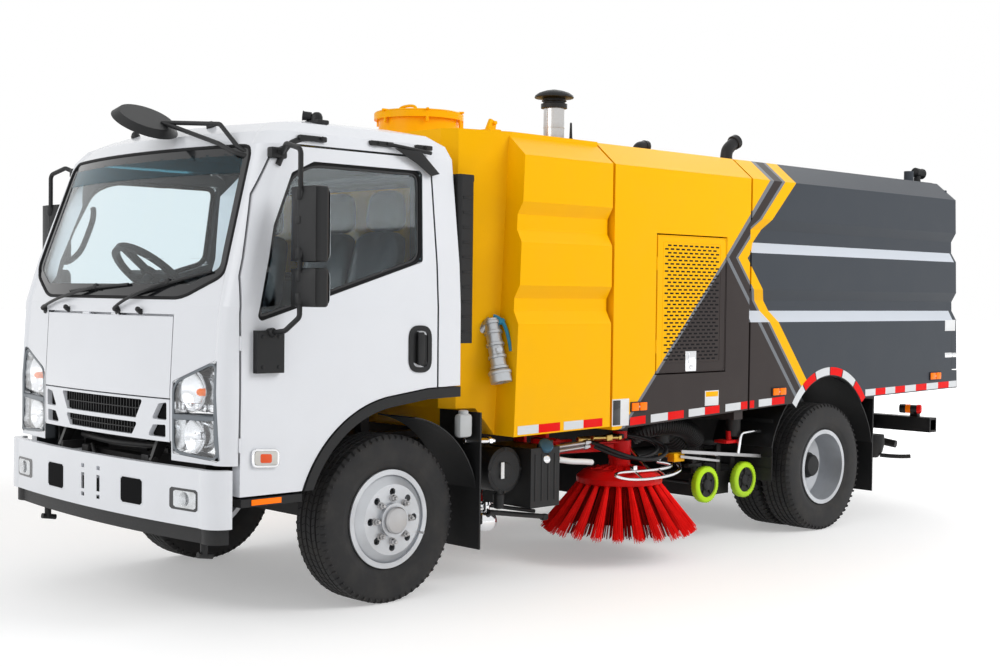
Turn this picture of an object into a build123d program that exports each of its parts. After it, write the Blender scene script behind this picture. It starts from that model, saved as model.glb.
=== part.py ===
"""Street sweeper truck: cab-over chassis with water tank, engine bay, tipping hopper,
side brushes and suction nozzle. Millimetres; X is the truck's left, the front faces -Y, Z is up,
origin on the ground under the middle of the overall length."""
import math
import os

from build123d import *

# ---------------------------------------------------------------- driving dimensions
OVERALL_LENGTH = 5995.0
FRONT_OVERHANG = 1050.0
WHEELBASE = 3360.0
FRONT_AXLE_Y = FRONT_OVERHANG - OVERALL_LENGTH / 2
REAR_AXLE_Y = FRONT_AXLE_Y + WHEELBASE

TYRE_RADIUS = 388.0
TYRE_WIDTH = 215.0
RIM_RADIUS = 227.0
RIM_WALL = 9.0
FRONT_TRACK_HALF = 736.0
REAR_OUTER_X = 846.0
DUAL_SPACING = 238.0
KINGPIN_X = 590.0
HUB_RADIUS = 78.0
FRONT_HUB_FACE = 645.0
REAR_HUB_FACE = 640.0

FRAME_HALF_WIDTH = 375.0
RAIL_WIDTH = 60.0
RAIL_WALL = 12.0
FRAME_BOTTOM = 530.0
FRAME_TOP = 730.0
FRAME_FRONT = -880.0
FRAME_REAR = 4850.0

CAB_PIVOT_Y = -970.0
CAB_PIVOT_Z = 690.0
CAB_PIN_RADIUS = 14.0
CAB_EYE_RADIUS = 20.0
CAB_REST_Y = 225.0
CAB_WALL = 55.0
CAB_REAR = 340.0
CAB_BOTTOM = 575.0
CORNER_BOTTOM = 705.0
GRILLE_BOTTOM = 780.0
LID_BOTTOM = 966.0
LID_TOP = 1312.0
LID_HALF_WIDTH = 558.0
LID_THICKNESS = 22.0
SEAM = 10.0
CONTACT_GAP = 0.3
GLASS_THICKNESS = 6.0

BODY_HALF_WIDTH = 1000.0
ROOF_HALF_WIDTH = 860.0
SHOULDER_Z = 2095.0
ROOF_Z = 2213.0
RIB_DEPTH = 35.0
PANEL_WALL = 35.0
TANK_HALF_WIDTH = 888.0
TANK_FRONT = 380.0
TANK_REAR = 1319.0
BAY_FRONT = 1337.0
BAY_REAR = 2494.0
HOPPER_FRONT = 2510.0
BODY_REAR_TOP = 4800.0
BODY_REAR_BOTTOM = 4870.0
TAILGATE_THICKNESS = 62.0
TAILGATE_BOTTOM = 950.0
REAR_SKIRT_BOTTOM = 822.0
REAR_SKIRT_FRONT = 4780.0
REAR_SKIRT_INNER = 400.0
HOPPER_FLOOR = 1015.0
FLOOR_THICKNESS = 40.0

TIP_PIVOT_Y = 4750.0
TIP_PIVOT_Z = 900.0
TIP_PIN_RADIUS = 22.0


def along(y):
    """Place along the truck from a distance behind the front axle."""
    return FRONT_AXLE_Y + y


# ---------------------------------------------------------------- shape helpers
def side_prism(outline, x_from, x_to, corner_radius=0.0):
    """Prism across the truck from an outline of (distance behind front axle, height)."""
    with BuildPart() as prism:
        with BuildSketch(Plane.YZ.offset(x_from)) as face:
            with BuildLine():
                Polyline([(along(y), z) for y, z in outline], close=True)
            make_face()
            if corner_radius:
                fillet(face.vertices(), corner_radius)
        extrude(amount=x_to - x_from)
    return prism.part


def front_prism(outline, y_from, y_to, corner_radius=0.0):
    """Prism along the truck from an outline of (x, height), between two distances behind the axle."""
    with BuildPart() as prism:
        with BuildSketch(Plane.XZ.offset(-along(y_to))) as face:
            with BuildLine():
                Polyline(outline, close=True)
            make_face()
            if corner_radius:
                fillet(face.vertices(), corner_radius)
        extrude(amount=y_to - y_from)
    return prism.part


def plan_prism(outline, z_from, z_to, corner_radius=0.0):
    """Upright prism from an outline of (x, distance behind front axle)."""
    with BuildPart() as prism:
        with BuildSketch(Plane.XY.offset(z_from)) as face:
            with BuildLine():
                Polyline([(x, along(y)) for x, y in outline], close=True)
            make_face()
            if corner_radius:
                fillet(face.vertices(), corner_radius)
        extrude(amount=z_to - z_from)
    return prism.part


def block(x_from, x_to, y_from, y_to, z_from, z_to):
    """Box between limits, y as a distance behind the front axle."""
    with BuildPart() as box:
        with BuildSketch(Plane.XY.offset(z_from)):
            with Locations(((x_from + x_to) / 2, along((y_from + y_to) / 2))):
                Rectangle(x_to - x_from, y_to - y_from)
        extrude(amount=z_to - z_from)
    return box.part


def rod(start, end, radius):
    """Round bar between two points given as (x, distance behind front axle, height)."""
    first = Vector(start[0], along(start[1]), start[2])
    last = Vector(end[0], along(end[1]), end[2])
    with BuildPart() as bar:
        with BuildSketch(Plane(origin=first, z_dir=last - first)):
            Circle(radius)
        extrude(amount=(last - first).length)
    return bar.part


def bent_tube(points, radius, bend_radius):
    """Round tube through (x, distance behind front axle, height) points with arcs at its corners."""
    route = [Vector(x, along(y), z) for x, y, z in points]
    with BuildPart() as tube:
        with BuildLine() as path:
            FilletPolyline(*route, radius=bend_radius)
        with BuildSketch(Plane(origin=route[0], z_dir=route[1] - route[0])):
            Circle(radius)
        sweep(path=path.line)
    return tube.part


def mirrored(shape):
    """The same shape on the other side of the truck."""
    with BuildPart() as twin:
        add(shape)
        mirror(about=Plane.YZ, mode=Mode.REPLACE)
    return twin.part


def join(*shapes, cut=()):
    """One sub-part from shapes that touch, less the cutters."""
    with BuildPart() as whole:
        for shape in shapes:
            add(shape)
        for cutter in cut:
            add(cutter, mode=Mode.SUBTRACT)
    return whole.part


def common(first, *others):
    """What the shapes share."""
    with BuildPart() as shared:
        add(first)
        for other in others:
            add(other, mode=Mode.INTERSECT)
    return shared.part


nodes = {}


def keep(name, shape):
    """Record a finished sub-part under its node name."""
    shape.label = name
    nodes[name] = shape


# ---------------------------------------------------------------- cab outline
# columns: height, half width, front at the middle, corner x, corner y, side start y, rear y
CAB_SECTIONS = (
    (575.0, 925.0, -1006.0, 830.0, -950.0, -872.0, 340.0),
    (1000.0, 932.0, -1012.0, 838.0, -950.0, -880.0, 340.0),
    (1360.0, 930.0, -1000.0, 835.0, -925.0, -862.0, 340.0),
    (1560.0, 918.0, -950.0, 818.0, -872.0, -800.0, 340.0),
    (2050.0, 862.0, -815.0, 750.0, -715.0, -620.0, 335.0),
    (2110.0, 838.0, -765.0, 715.0, -660.0, -560.0, 312.0),
    (2160.0, 770.0, -660.0, 640.0, -560.0, -450.0, 250.0),
    (2188.0, 640.0, -470.0, 500.0, -390.0, -300.0, 130.0),
)
ROOF_STARTS_AT = 2100.0


def cab_body(inset):
    """Closed cab shape, moved inwards by the inset on every side but its bottom."""
    with BuildPart() as body:
        for height, half, front, corner_x, corner_y, side_y, rear in CAB_SECTIONS:
            drop = inset if height > ROOF_STARTS_AT else 0.0
            front_y = along(front + inset)
            corner = (corner_x - inset * 0.7, along(corner_y + inset * 0.8))
            side = (half - inset, along(side_y))
            back = along(rear - inset)
            with BuildSketch(Plane.XY.offset(height - drop)):
                with BuildLine():
                    Line((-side[0], back), (side[0], back))
                    Line((side[0], back), side)
                    TangentArc(side, corner, tangent=(0, -1))
                    ThreePointArc(corner, (0, front_y), (-corner[0], corner[1]))
                    TangentArc((-side[0], side[1]), (-corner[0], corner[1]), tangent=(0, -1))
                    Line((-side[0], side[1]), (-side[0], back))
                make_face()
        loft(ruled=True)
    return body.part


def band(outer_inset, inner_inset):
    """Skin of the cab between two insets."""
    return join(cab_body(outer_inset), cut=[cab_body(inner_inset)])


# outlines seen from the side, as (distance behind front axle, height)
DOOR_FRONT = -885.0
DOOR_OUTLINE = (
    (-885.0, 500.0), (-885.0, 1330.0), (-874.0, 1486.0), (-778.0, 1832.0), (-680.0, 2020.0),
    (-600.0, 2055.0), (120.0, 2055.0), (185.0, 2030.0), (205.0, 1970.0), (205.0, 500.0),
)
WINDOW_OUTLINE = (
    (-802.0, 1292.0), (114.0, 1566.0), (146.0, 1985.0), (-470.0, 1985.0), (-590.0, 1930.0), (-700.0, 1700.0),
)
ARCH_START, ARCH_MIDDLE, ARCH_END = (-560.0, 575.0), (-408.0, 808.0), (-60.0, 965.0)
# outlines seen from the front, as (x, height)
WINDSHIELD_OUTLINE = (
    (-600.0, 1388.0), (600.0, 1388.0), (838.0, 1492.0), (770.0, 2046.0), (-770.0, 2046.0), (-838.0, 1492.0),
)
REAR_WINDOW_OUTLINE = ((-620.0, 1500.0), (620.0, 1500.0), (620.0, 1960.0), (-620.0, 1960.0))
LAMP_OUTLINE = ((575.0, 1040.0), (852.0, 1142.0), (882.0, 719.0), (575.0, 735.0))
UPPER_GRILLE_OPENING = ((-363.0, 950.0), (363.0, 950.0), (310.0, 868.0), (-310.0, 868.0))
LOWER_GRILLE_OPENING = ((-322.0, 850.0), (322.0, 850.0), (280.0, 795.0), (-280.0, 795.0))
UPPER_SIDE_OPENING = ((430.0, 872.0), (537.0, 872.0), (537.0, 948.0), (480.0, 940.0))
LOWER_SIDE_OPENING = ((400.0, 798.0), (530.0, 798.0), (530.0, 852.0), (440.0, 848.0))
FLOOR_FRONT_BOTTOM, FLOOR_REAR_BOTTOM, FLOOR_SLAB = 860.0, 1000.0, 40.0


def inset_sketch_prism(outline, distance, x_from, x_to, corner_radius):
    """Side prism whose outline is offset by an exact distance (negative goes inwards)."""
    with BuildPart() as prism:
        with BuildSketch(Plane.YZ.offset(x_from)) as face:
            with BuildLine():
                Polyline([(along(y), z) for y, z in outline], close=True)
            make_face()
            if corner_radius:
                fillet(face.vertices(), corner_radius)
            if distance:
                offset(amount=distance, kind=Kind.INTERSECTION, mode=Mode.REPLACE)
        extrude(amount=x_to - x_from)
    return prism.part


def arch_cutter(lower_by, x_from, x_to, rear_end=420.0):
    """Everything below the cab's wheel arch line, with the line moved down by lower_by."""
    start = (along(ARCH_START[0] + lower_by), ARCH_START[1] - 200.0)
    arc_start = (along(ARCH_START[0] + lower_by), ARCH_START[1])
    arc_mid = (along(ARCH_MIDDLE[0] + lower_by * 0.7), ARCH_MIDDLE[1] - lower_by * 0.7)
    arc_end = (along(ARCH_END[0]), ARCH_END[1] - lower_by)
    with BuildPart() as prism:
        with BuildSketch(Plane.YZ.offset(x_from)):
            with BuildLine():
                Line(start, arc_start)
                ThreePointArc(arc_start, arc_mid, arc_end)
                Polyline(
                    arc_end,
                    (along(140.0), 990.0 - lower_by),
                    (along(rear_end), 996.0 - lower_by),
                    (along(rear_end), ARCH_START[1] - 200.0),
                    start,
                )
            make_face()
        extrude(amount=x_to - x_from)
    return prism.part


REACH = 1300.0
cab_outer = cab_body(0.0)
cab_inner = cab_body(CAB_WALL)
cab_clearance = cab_body(-CONTACT_GAP)
above_floor = side_prism(
    ((-1300, FLOOR_FRONT_BOTTOM + FLOOR_SLAB), (-500, FLOOR_FRONT_BOTTOM + FLOOR_SLAB),
     (-430, FLOOR_REAR_BOTTOM + FLOOR_SLAB), (600, FLOOR_REAR_BOTTOM + FLOOR_SLAB),
     (600, 2500), (-1300, 2500)), -REACH, REACH)
below_floor = side_prism(
    ((-1300, 400), (-1300, FLOOR_FRONT_BOTTOM), (-480, FLOOR_FRONT_BOTTOM),
     (-400, FLOOR_REAR_BOTTOM), (600, FLOOR_REAR_BOTTOM), (600, 400)), -REACH, REACH)
interior = common(cab_inner, above_floor)
underside = common(cab_inner, below_floor)
whole_arch = arch_cutter(0.0, -REACH, REACH)
front_gap = block(-REACH, REACH, -1300.0, DOOR_FRONT, 400.0, CORNER_BOTTOM)
middle_gap = block(-LID_HALF_WIDTH - 12.0, LID_HALF_WIDTH + 12.0, -1300.0, -800.0, 400.0, GRILLE_BOTTOM - 5.0)
skirt_gap = block(-REACH, REACH, DOOR_FRONT - 1.0, ARCH_START[0], 400.0, CAB_BOTTOM)

windshield_hole = front_prism(WINDSHIELD_OUTLINE, -1200.0, -560.0, 60.0)
rear_window_hole = front_prism(REAR_WINDOW_OUTLINE, 200.0, 400.0, 50.0)
lamp_hole = front_prism(LAMP_OUTLINE, -1200.0, DOOR_FRONT - 8.0, 12.0)
front_recess = common(
    band(-5.0, LID_THICKNESS + 8.0),
    block(-LID_HALF_WIDTH - SEAM / 2, LID_HALF_WIDTH + SEAM / 2, -1200.0, -900.0, GRILLE_BOTTOM - 6.0,
          LID_TOP + SEAM))
door_hole = inset_sketch_prism(DOOR_OUTLINE, 0.0, 600.0, REACH, 0.0)

# step well and sill under each door, carried by the cab floor
STEP_TOP, STEP_BOTTOM, STEP_INNER = 568.0, 530.0, 640.0
step_left = join(
    block(STEP_INNER, STEP_INNER + 20.0, -868.0, ARCH_START[0], STEP_BOTTOM, FLOOR_FRONT_BOTTOM),
    block(STEP_INNER, 926.0, -868.0, ARCH_START[0], STEP_BOTTOM, STEP_TOP - 4.0),
)

# tilting arms below the floor, with their holes
cab_arms = []
for side in (-1, 1):
    arm_inner, arm_outer = sorted((side * (FRAME_HALF_WIDTH + 25.0), side * (FRAME_HALF_WIDTH + 47.0)))
    cab_arms.append(join(
        side_prism(
            ((CAB_PIVOT_Y - CAB_EYE_RADIUS, CAB_PIVOT_Z), (CAB_PIVOT_Y + 12.0, GRILLE_BOTTOM - SEAM),
             (CAB_PIVOT_Y + 12.0, FLOOR_FRONT_BOTTOM + 2.0), (CAB_PIVOT_Y + 120.0, FLOOR_FRONT_BOTTOM + 2.0),
             (CAB_PIVOT_Y + CAB_EYE_RADIUS, CAB_PIVOT_Z)),
            arm_inner, arm_outer),
        rod((arm_inner, CAB_PIVOT_Y, CAB_PIVOT_Z), (arm_outer, CAB_PIVOT_Y, CAB_PIVOT_Z), CAB_EYE_RADIUS),
        cut=[rod((arm_inner - 5.0, CAB_PIVOT_Y, CAB_PIVOT_Z), (arm_outer + 5.0, CAB_PIVOT_Y, CAB_PIVOT_Z),
                 CAB_PIN_RADIUS + CONTACT_GAP)]))

cab_shell = join(
    cab_outer,
    cut=[interior, underside, whole_arch, front_gap, middle_gap, skirt_gap, windshield_hole, rear_window_hole,
         lamp_hole, mirrored(lamp_hole), front_recess, door_hole, mirrored(door_hole)],
)
keep("cab_shell", join(cab_shell, *cab_arms))

# glass: windshield and rear window
glass_skin = band(3.0, 3.0 + GLASS_THICKNESS)
windshield = common(glass_skin, front_prism(WINDSHIELD_OUTLINE, -1200.0, -560.0, 60.0))
rear_window = common(glass_skin, front_prism(REAR_WINDOW_OUTLINE, 200.0, 400.0, 50.0))
keep("cab_glass", join(windshield, rear_window))

# headlamps: one closed lamp body in each front corner
lamp_left = common(band(2.0, 48.0), lamp_hole)
keep("headlamps", join(lamp_left, mirrored(lamp_left)))

# lid over the front service points, hinged along its top edge
lid_panel = common(
    band(0.0, LID_THICKNESS),
    block(-LID_HALF_WIDTH, LID_HALF_WIDTH, -1200.0, -900.0, LID_BOTTOM, LID_TOP))
LID_HINGE_Y, LID_HINGE_Z = -1001.5, LID_TOP + SEAM / 2
lid_pins = [
    join(
        rod((x - 30.0, LID_HINGE_Y, LID_HINGE_Z), (x + 30.0, LID_HINGE_Y, LID_HINGE_Z), SEAM / 2 - CONTACT_GAP),
        block(x - 30.0, x + 30.0, LID_HINGE_Y, LID_HINGE_Y + LID_THICKNESS - 4.0, LID_TOP - 4.0, LID_HINGE_Z),
    )
    for x in (-130.0, 130.0)
]
keep("front_lid", join(lid_panel, *lid_pins))

# grille: panel with two wide slots and a pair of small ones at each end
grille_panel = common(
    band(0.0, LID_THICKNESS + 8.0),
    block(-LID_HALF_WIDTH, LID_HALF_WIDTH, -1200.0, -900.0, GRILLE_BOTTOM, LID_BOTTOM - 6.0))
slots = [front_prism(outline, -1200.0, -900.0, 8.0) for outline in
         (UPPER_GRILLE_OPENING, LOWER_GRILLE_OPENING, UPPER_SIDE_OPENING, LOWER_SIDE_OPENING)]
slots += [mirrored(slots[2]), mirrored(slots[3])]
keep("grille", join(grille_panel, cut=slots))

# ---------------------------------------------------------------- doors
DOOR_AXIS_Y = DOOR_FRONT + SEAM / 2
DOOR_AXIS_X = 931.0
door_skin = band(0.0, CAB_WALL)
door_area = inset_sketch_prism(DOOR_OUTLINE, -SEAM, 600.0, REACH, 0.0)
door_bottom = block(600.0, REACH, -1300.0, 600.0, 400.0, CAB_BOTTOM)
door_window_hole = inset_sketch_prism(WINDOW_OUTLINE, 0.0, 600.0, REACH, 22.0)
door_panel = join(
    common(door_skin, door_area),
    cut=[whole_arch, door_bottom, door_window_hole],
)
door_glass = common(band(18.0, 18.0 + GLASS_THICKNESS), door_window_hole)
HINGE_PIN_RADIUS = SEAM / 2 - CONTACT_GAP
door_pins = [
    join(
        rod((DOOR_AXIS_X, DOOR_AXIS_Y, z), (DOOR_AXIS_X, DOOR_AXIS_Y, z + 60.0), HINGE_PIN_RADIUS),
        block(DOOR_AXIS_X - 20.0, DOOR_AXIS_X - 1.0, DOOR_AXIS_Y + 0.5, DOOR_AXIS_Y + SEAM, z, z + 60.0),
    )
    for z in (760.0, 1180.0)
]
door_left = join(door_panel, *door_pins)
keep("door_left", door_left)
keep("door_right", mirrored(door_left))
keep("door_glass_left", door_glass)
keep("door_glass_right", mirrored(door_glass))

# mirrors on each door: bracket, bent arm, two heads
MIRROR_ARM_X, MIRROR_ARM_Y = 1085.0, -697.0
MIRROR_ARM_TOP, MIRROR_ARM_BOTTOM = 2012.0, 1288.0
arm = bent_tube(
    ((862.0, -640.0, 2000.0), (960.0, -680.0, 2040.0), (MIRROR_ARM_X, MIRROR_ARM_Y, 2010.0),
     (MIRROR_ARM_X, MIRROR_ARM_Y, 1320.0), (1030.0, -730.0, 1262.0), (940.0, -745.0, 1250.0)),
    11.0, 30.0)
mirror_bracket = block(926.0, 962.0, -818.0, -683.0, 1085.0, 1262.0)
# columns: bottom height, top height
MIRROR_HEADS = ((1547.0, 1858.0), (1362.0, 1522.0))
HEAD_WIDTH, HEAD_DEPTH = 172.0, 78.0
heads = []
for bottom, top in MIRROR_HEADS:
    with BuildPart() as head:
        with BuildSketch(Plane.XY.offset(bottom)) as head_plan:
            with Locations((1100.0, along(MIRROR_ARM_Y) + HEAD_DEPTH / 2 + 4.0)):
                RectangleRounded(HEAD_WIDTH, HEAD_DEPTH, 26.0)
        extrude(amount=top - bottom)
        fillet(head.faces().sort_by(Axis.Z)[-1].edges(), 14.0)
        fillet(head.faces().sort_by(Axis.Z)[0].edges(), 14.0)
    heads.append(head.part)
mirrors_left = join(arm, mirror_bracket, *heads, cut=[cab_clearance])
keep("mirrors_left", mirrors_left)
keep("mirrors_right", mirrored(mirrors_left))

# round under-view mirror on two tubes above the windshield
UNDER_MIRROR_CENTRE = (150.0, -872.0, 2166.0)
UNDER_MIRROR_RADIUS = 152.0
UNDER_MIRROR_FACING = (0.51, 0.03, 0.86)
MIRROR_JOINT = (205.0, -815.0, 2172.0)
PILLAR_FOOT = (782.0, -700.0, 1985.0)
disc_plane = Plane(
    origin=(UNDER_MIRROR_CENTRE[0], along(UNDER_MIRROR_CENTRE[1]), UNDER_MIRROR_CENTRE[2]),
    z_dir=UNDER_MIRROR_FACING)
with BuildPart() as under_disc:
    with BuildSketch(disc_plane):
        Circle(UNDER_MIRROR_RADIUS)
    extrude(amount=34.0, taper=38.0)
tube_low = bent_tube((MIRROR_JOINT, (598.0, -775.0, 2056.0), (700.0, -760.0, 2010.0), PILLAR_FOOT), 10.0, 30.0)
tube_high = bent_tube((MIRROR_JOINT, (560.0, -745.0, 2145.0), (690.0, -740.0, 2040.0), PILLAR_FOOT), 10.0, 30.0)
keep("under_mirror", join(under_disc.part, tube_low, tube_high, cut=[cab_clearance]))

# ---------------------------------------------------------------- cab trims, interior, steering wheel
trim_band = common(
    join(arch_cutter(6.0, 868.0, 936.0, CAB_REAR), cut=[arch_cutter(52.0, 860.0, 940.0)]),
    block(860.0, 940.0, ARCH_START[0], CAB_REAR, CAB_BOTTOM, 1000.0))
wheel_house = join(
    side_prism(
        ((ARCH_START[0], CAB_BOTTOM), (-480.0, FLOOR_FRONT_BOTTOM), (-400.0, FLOOR_REAR_BOTTOM),
         (CAB_REAR - CAB_WALL, FLOOR_REAR_BOTTOM), (CAB_REAR - CAB_WALL, 940.0), (ARCH_START[0], 560.0)), 838.0, 869.0),
    cut=[arch_cutter(52.0, 800.0, 940.0)])
trim_left = join(trim_band, wheel_house, step_left)
SNORKEL_OUTLINE = ((828.0, 350.0), (905.0, 350.0), (905.0, 452.0), (828.0, 432.0))
snorkel = join(
    plan_prism(SNORKEL_OUTLINE, 1190.0, 1985.0, 18.0),
    block(800.0, 850.0, CAB_REAR, 400.0, 1300.0, 1400.0),
)
keep("cab_trims", join(trim_left, mirrored(trim_left), snorkel))

FLOOR_TOP, SEAT_FLOOR = FLOOR_FRONT_BOTTOM + FLOOR_SLAB, FLOOR_REAR_BOTTOM + FLOOR_SLAB
DASH_HALF_WIDTH = 760.0
interior_parts = [
    side_prism(((-890.0, FLOOR_TOP), (-600.0, FLOOR_TOP), (-560.0, 1120.0), (-600.0, 1330.0), (-860.0, 1345.0),
                (-885.0, 1290.0)), -DASH_HALF_WIDTH, DASH_HALF_WIDTH)]
for seat_x, seat_half in ((-470.0, 240.0), (330.0, 380.0)):
    interior_parts.append(side_prism(
        ((-300.0, SEAT_FLOOR), (190.0, SEAT_FLOOR), (270.0, 1700.0), (270.0, 1900.0), (190.0, 1900.0), (150.0, 1700.0),
         (60.0, 1340.0), (-340.0, 1320.0), (-350.0, 1220.0)), seat_x - seat_half, seat_x + seat_half, 12.0))
STEERING_X = -470.0
COLUMN_TOP = (STEERING_X, -470.0, 1500.0)
COLUMN_BOTTOM = (STEERING_X, -640.0, 1300.0)
STEERING_SHAFT_LENGTH = 125.0
wheel_axis = Vector(0.0, COLUMN_TOP[1] - COLUMN_BOTTOM[1], COLUMN_TOP[2] - COLUMN_BOTTOM[2]).normalized()
column_end = Vector(COLUMN_TOP) - wheel_axis * (STEERING_SHAFT_LENGTH + CONTACT_GAP)
column_start = (column_end.X, column_end.Y, column_end.Z)
interior_parts.append(rod(column_start, COLUMN_BOTTOM, 36.0))
keep("cab_interior", join(*interior_parts))

wheel_plane = Plane(origin=(COLUMN_TOP[0], along(COLUMN_TOP[1]), COLUMN_TOP[2]), x_dir=(1, 0, 0), z_dir=wheel_axis)
STEERING_RADIUS, STEERING_GRIP = 205.0, 15.0
with BuildPart() as steering:
    with BuildSketch(wheel_plane.offset(-STEERING_GRIP)):
        Circle(STEERING_RADIUS + STEERING_GRIP)
        Circle(STEERING_RADIUS - STEERING_GRIP, mode=Mode.SUBTRACT)
        Circle(52.0)
        Rectangle(2 * STEERING_RADIUS, 34.0)
        with Locations((0, -STEERING_RADIUS / 2)):
            Rectangle(34.0, STEERING_RADIUS)
    extrude(amount=2 * STEERING_GRIP)
    with BuildSketch(wheel_plane.offset(-STEERING_SHAFT_LENGTH)):
        Circle(24.0)
    extrude(amount=STEERING_SHAFT_LENGTH - STEERING_GRIP + 2.0)
keep("steering_wheel", steering.part)

# ---------------------------------------------------------------- chassis frame
CROSSMEMBER_YS = (FRAME_FRONT + 30.0, 640.0, 1150.0, 1900.0, 2795.0, 3900.0, FRAME_REAR - 30.0)
rail = join(
    block(FRAME_HALF_WIDTH - RAIL_WIDTH, FRAME_HALF_WIDTH, FRAME_FRONT, FRAME_REAR, FRAME_BOTTOM, FRAME_TOP),
    cut=[block(FRAME_HALF_WIDTH - RAIL_WIDTH - 1.0, FRAME_HALF_WIDTH - RAIL_WALL, FRAME_FRONT - 1.0, FRAME_REAR + 1.0,
               FRAME_BOTTOM + RAIL_WALL, FRAME_TOP - RAIL_WALL)])
inner_half = FRAME_HALF_WIDTH - RAIL_WALL
crossmembers = [
    block(-inner_half, inner_half, y - 30.0, y + 30.0, FRAME_BOTTOM + 60.0, FRAME_BOTTOM + 150.0)
    for y in CROSSMEMBER_YS
]
REAR_BAR_FRONT, REAR_BAR_REAR = 4855.0, OVERALL_LENGTH - FRONT_OVERHANG
REAR_BAR_BOTTOM, REAR_BAR_TOP, REAR_BAR_HALF = 500.0, 600.0, 811.0
rear_bar = block(-REAR_BAR_HALF, REAR_BAR_HALF, REAR_BAR_FRONT, REAR_BAR_REAR, REAR_BAR_BOTTOM, REAR_BAR_TOP)
bar_stays = [
    block(x - 25.0, x + 25.0, 4700.0, REAR_BAR_FRONT + 5.0, FRAME_BOTTOM - 20.0, FRAME_BOTTOM + 60.0)
    for x in (-345.0, 345.0)
]
EAR_HALF = 30.0
pivot_ears = []
for x in (-345.0, 345.0):
    ear = side_prism(
        ((TIP_PIVOT_Y - 90.0, FRAME_TOP - 2.0), (TIP_PIVOT_Y + 70.0, FRAME_TOP - 2.0),
         (TIP_PIVOT_Y + 45.0, TIP_PIVOT_Z + 30.0), (TIP_PIVOT_Y - 45.0, TIP_PIVOT_Z + 30.0)),
        x - EAR_HALF, x + EAR_HALF)
    pin_hole = rod((x - 60.0, TIP_PIVOT_Y, TIP_PIVOT_Z), (x + 60.0, TIP_PIVOT_Y, TIP_PIVOT_Z),
                   TIP_PIN_RADIUS + CONTACT_GAP)
    pivot_ears.append(join(ear, cut=[pin_hole]))
# spring hangers below the rails
SPRING_X = FRAME_HALF_WIDTH - RAIL_WIDTH / 2
SPRING_HALF = 30.0
# columns: middle y, half length, eye height
SPRINGS = ((0.0, 600.0, 505.0), (WHEELBASE, 640.0, 505.0))
hangers = []
for side in (-1, 1):
    for middle, half, eye_z in SPRINGS:
        for end in (-1, 1):
            hangers.append(block(side * SPRING_X - 28.0, side * SPRING_X + 28.0, middle + end * half - 30.0,
                                 middle + end * half + 30.0, eye_z + 14.0, FRAME_BOTTOM + 2.0))
# cab pivot lugs with pins, and the rest under the cab's rear
PIN_REACH = FRAME_HALF_WIDTH + 52.0
cab_lug = join(
    block(FRAME_HALF_WIDTH - 2.0, FRAME_HALF_WIDTH + 20.0, CAB_PIVOT_Y - CAB_EYE_RADIUS, FRAME_FRONT + 60.0,
          CAB_PIVOT_Z - 50.0, CAB_PIVOT_Z + CAB_EYE_RADIUS),
    rod((FRAME_HALF_WIDTH + 18.0, CAB_PIVOT_Y, CAB_PIVOT_Z), (PIN_REACH, CAB_PIVOT_Y, CAB_PIVOT_Z), CAB_PIN_RADIUS),
)
cab_rest = join(
    block(-FRAME_HALF_WIDTH, FRAME_HALF_WIDTH, CAB_REST_Y - 25.0, CAB_REST_Y + 25.0, FLOOR_REAR_BOTTOM - 50.0,
          FLOOR_REAR_BOTTOM - CONTACT_GAP),
    *[block(side * SPRING_X - 25.0, side * SPRING_X + 25.0, CAB_REST_Y - 25.0, CAB_REST_Y + 25.0, FRAME_TOP - 2.0,
            FLOOR_REAR_BOTTOM - 48.0) for side in (-1, 1)],
)
keep("frame", join(
    rail, mirrored(rail), *crossmembers, rear_bar, *bar_stays, *pivot_ears, *hangers, cab_lug, mirrored(cab_lug),
    cab_rest))

# leaf springs: four bowed packs
spring_solids = []
AXLE_PAD_TOP = 448.0
for side in (-1, 1):
    for middle, half, eye_z in SPRINGS:
        x_from = side * SPRING_X - SPRING_HALF
        with BuildPart() as pack:
            with BuildSketch(Plane.YZ.offset(x_from)):
                with BuildLine():
                    ThreePointArc((along(middle - half - 28.0), eye_z + 14.0), (along(middle), AXLE_PAD_TOP + 30.0),
                                  (along(middle + half + 28.0), eye_z + 14.0))
                    Line((along(middle + half + 28.0), eye_z + 14.0), (along(middle + half + 28.0), eye_z - 10.0))
                    Line((along(middle + half + 28.0), eye_z - 10.0), (along(middle + 70.0), AXLE_PAD_TOP))
                    Line((along(middle + 70.0), AXLE_PAD_TOP), (along(middle - 70.0), AXLE_PAD_TOP))
                    Line((along(middle - 70.0), AXLE_PAD_TOP), (along(middle - half - 28.0), eye_z - 10.0))
                    Line((along(middle - half - 28.0), eye_z - 10.0), (along(middle - half - 28.0), eye_z + 14.0))
                make_face()
            extrude(amount=2 * SPRING_HALF)
        spring_solids.append(pack.part)
keep("leaf_springs", join(*spring_solids))

# axles: dropped front beam and rear tube with its gear housing
KNUCKLE_HALF_HEIGHT = 62.0
KINGPIN_RADIUS = 19.0
beam_half = KINGPIN_X - 40.0
front_beam = join(
    block(-beam_half, beam_half, -38.0, 38.0, 330.0, 392.0),
    *[block(side * SPRING_X - 60.0, side * SPRING_X + 60.0, -70.0, 70.0, 388.0, AXLE_PAD_TOP) for side in (-1, 1)],
    *[rod((side * KINGPIN_X, 0.0, TYRE_RADIUS - KNUCKLE_HALF_HEIGHT), (side * KINGPIN_X, 0.0,
                                                                      TYRE_RADIUS + KNUCKLE_HALF_HEIGHT), 34.0)
      for side in (-1, 1)],
    *[block(min(side * beam_half, side * KINGPIN_X), max(side * beam_half, side * KINGPIN_X), -30.0, 30.0, 345.0, 430.0)
      for side in (-1, 1)],
)
REAR_TUBE_RADIUS = 58.0
rear_tube_half = REAR_HUB_FACE - CONTACT_GAP
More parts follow.
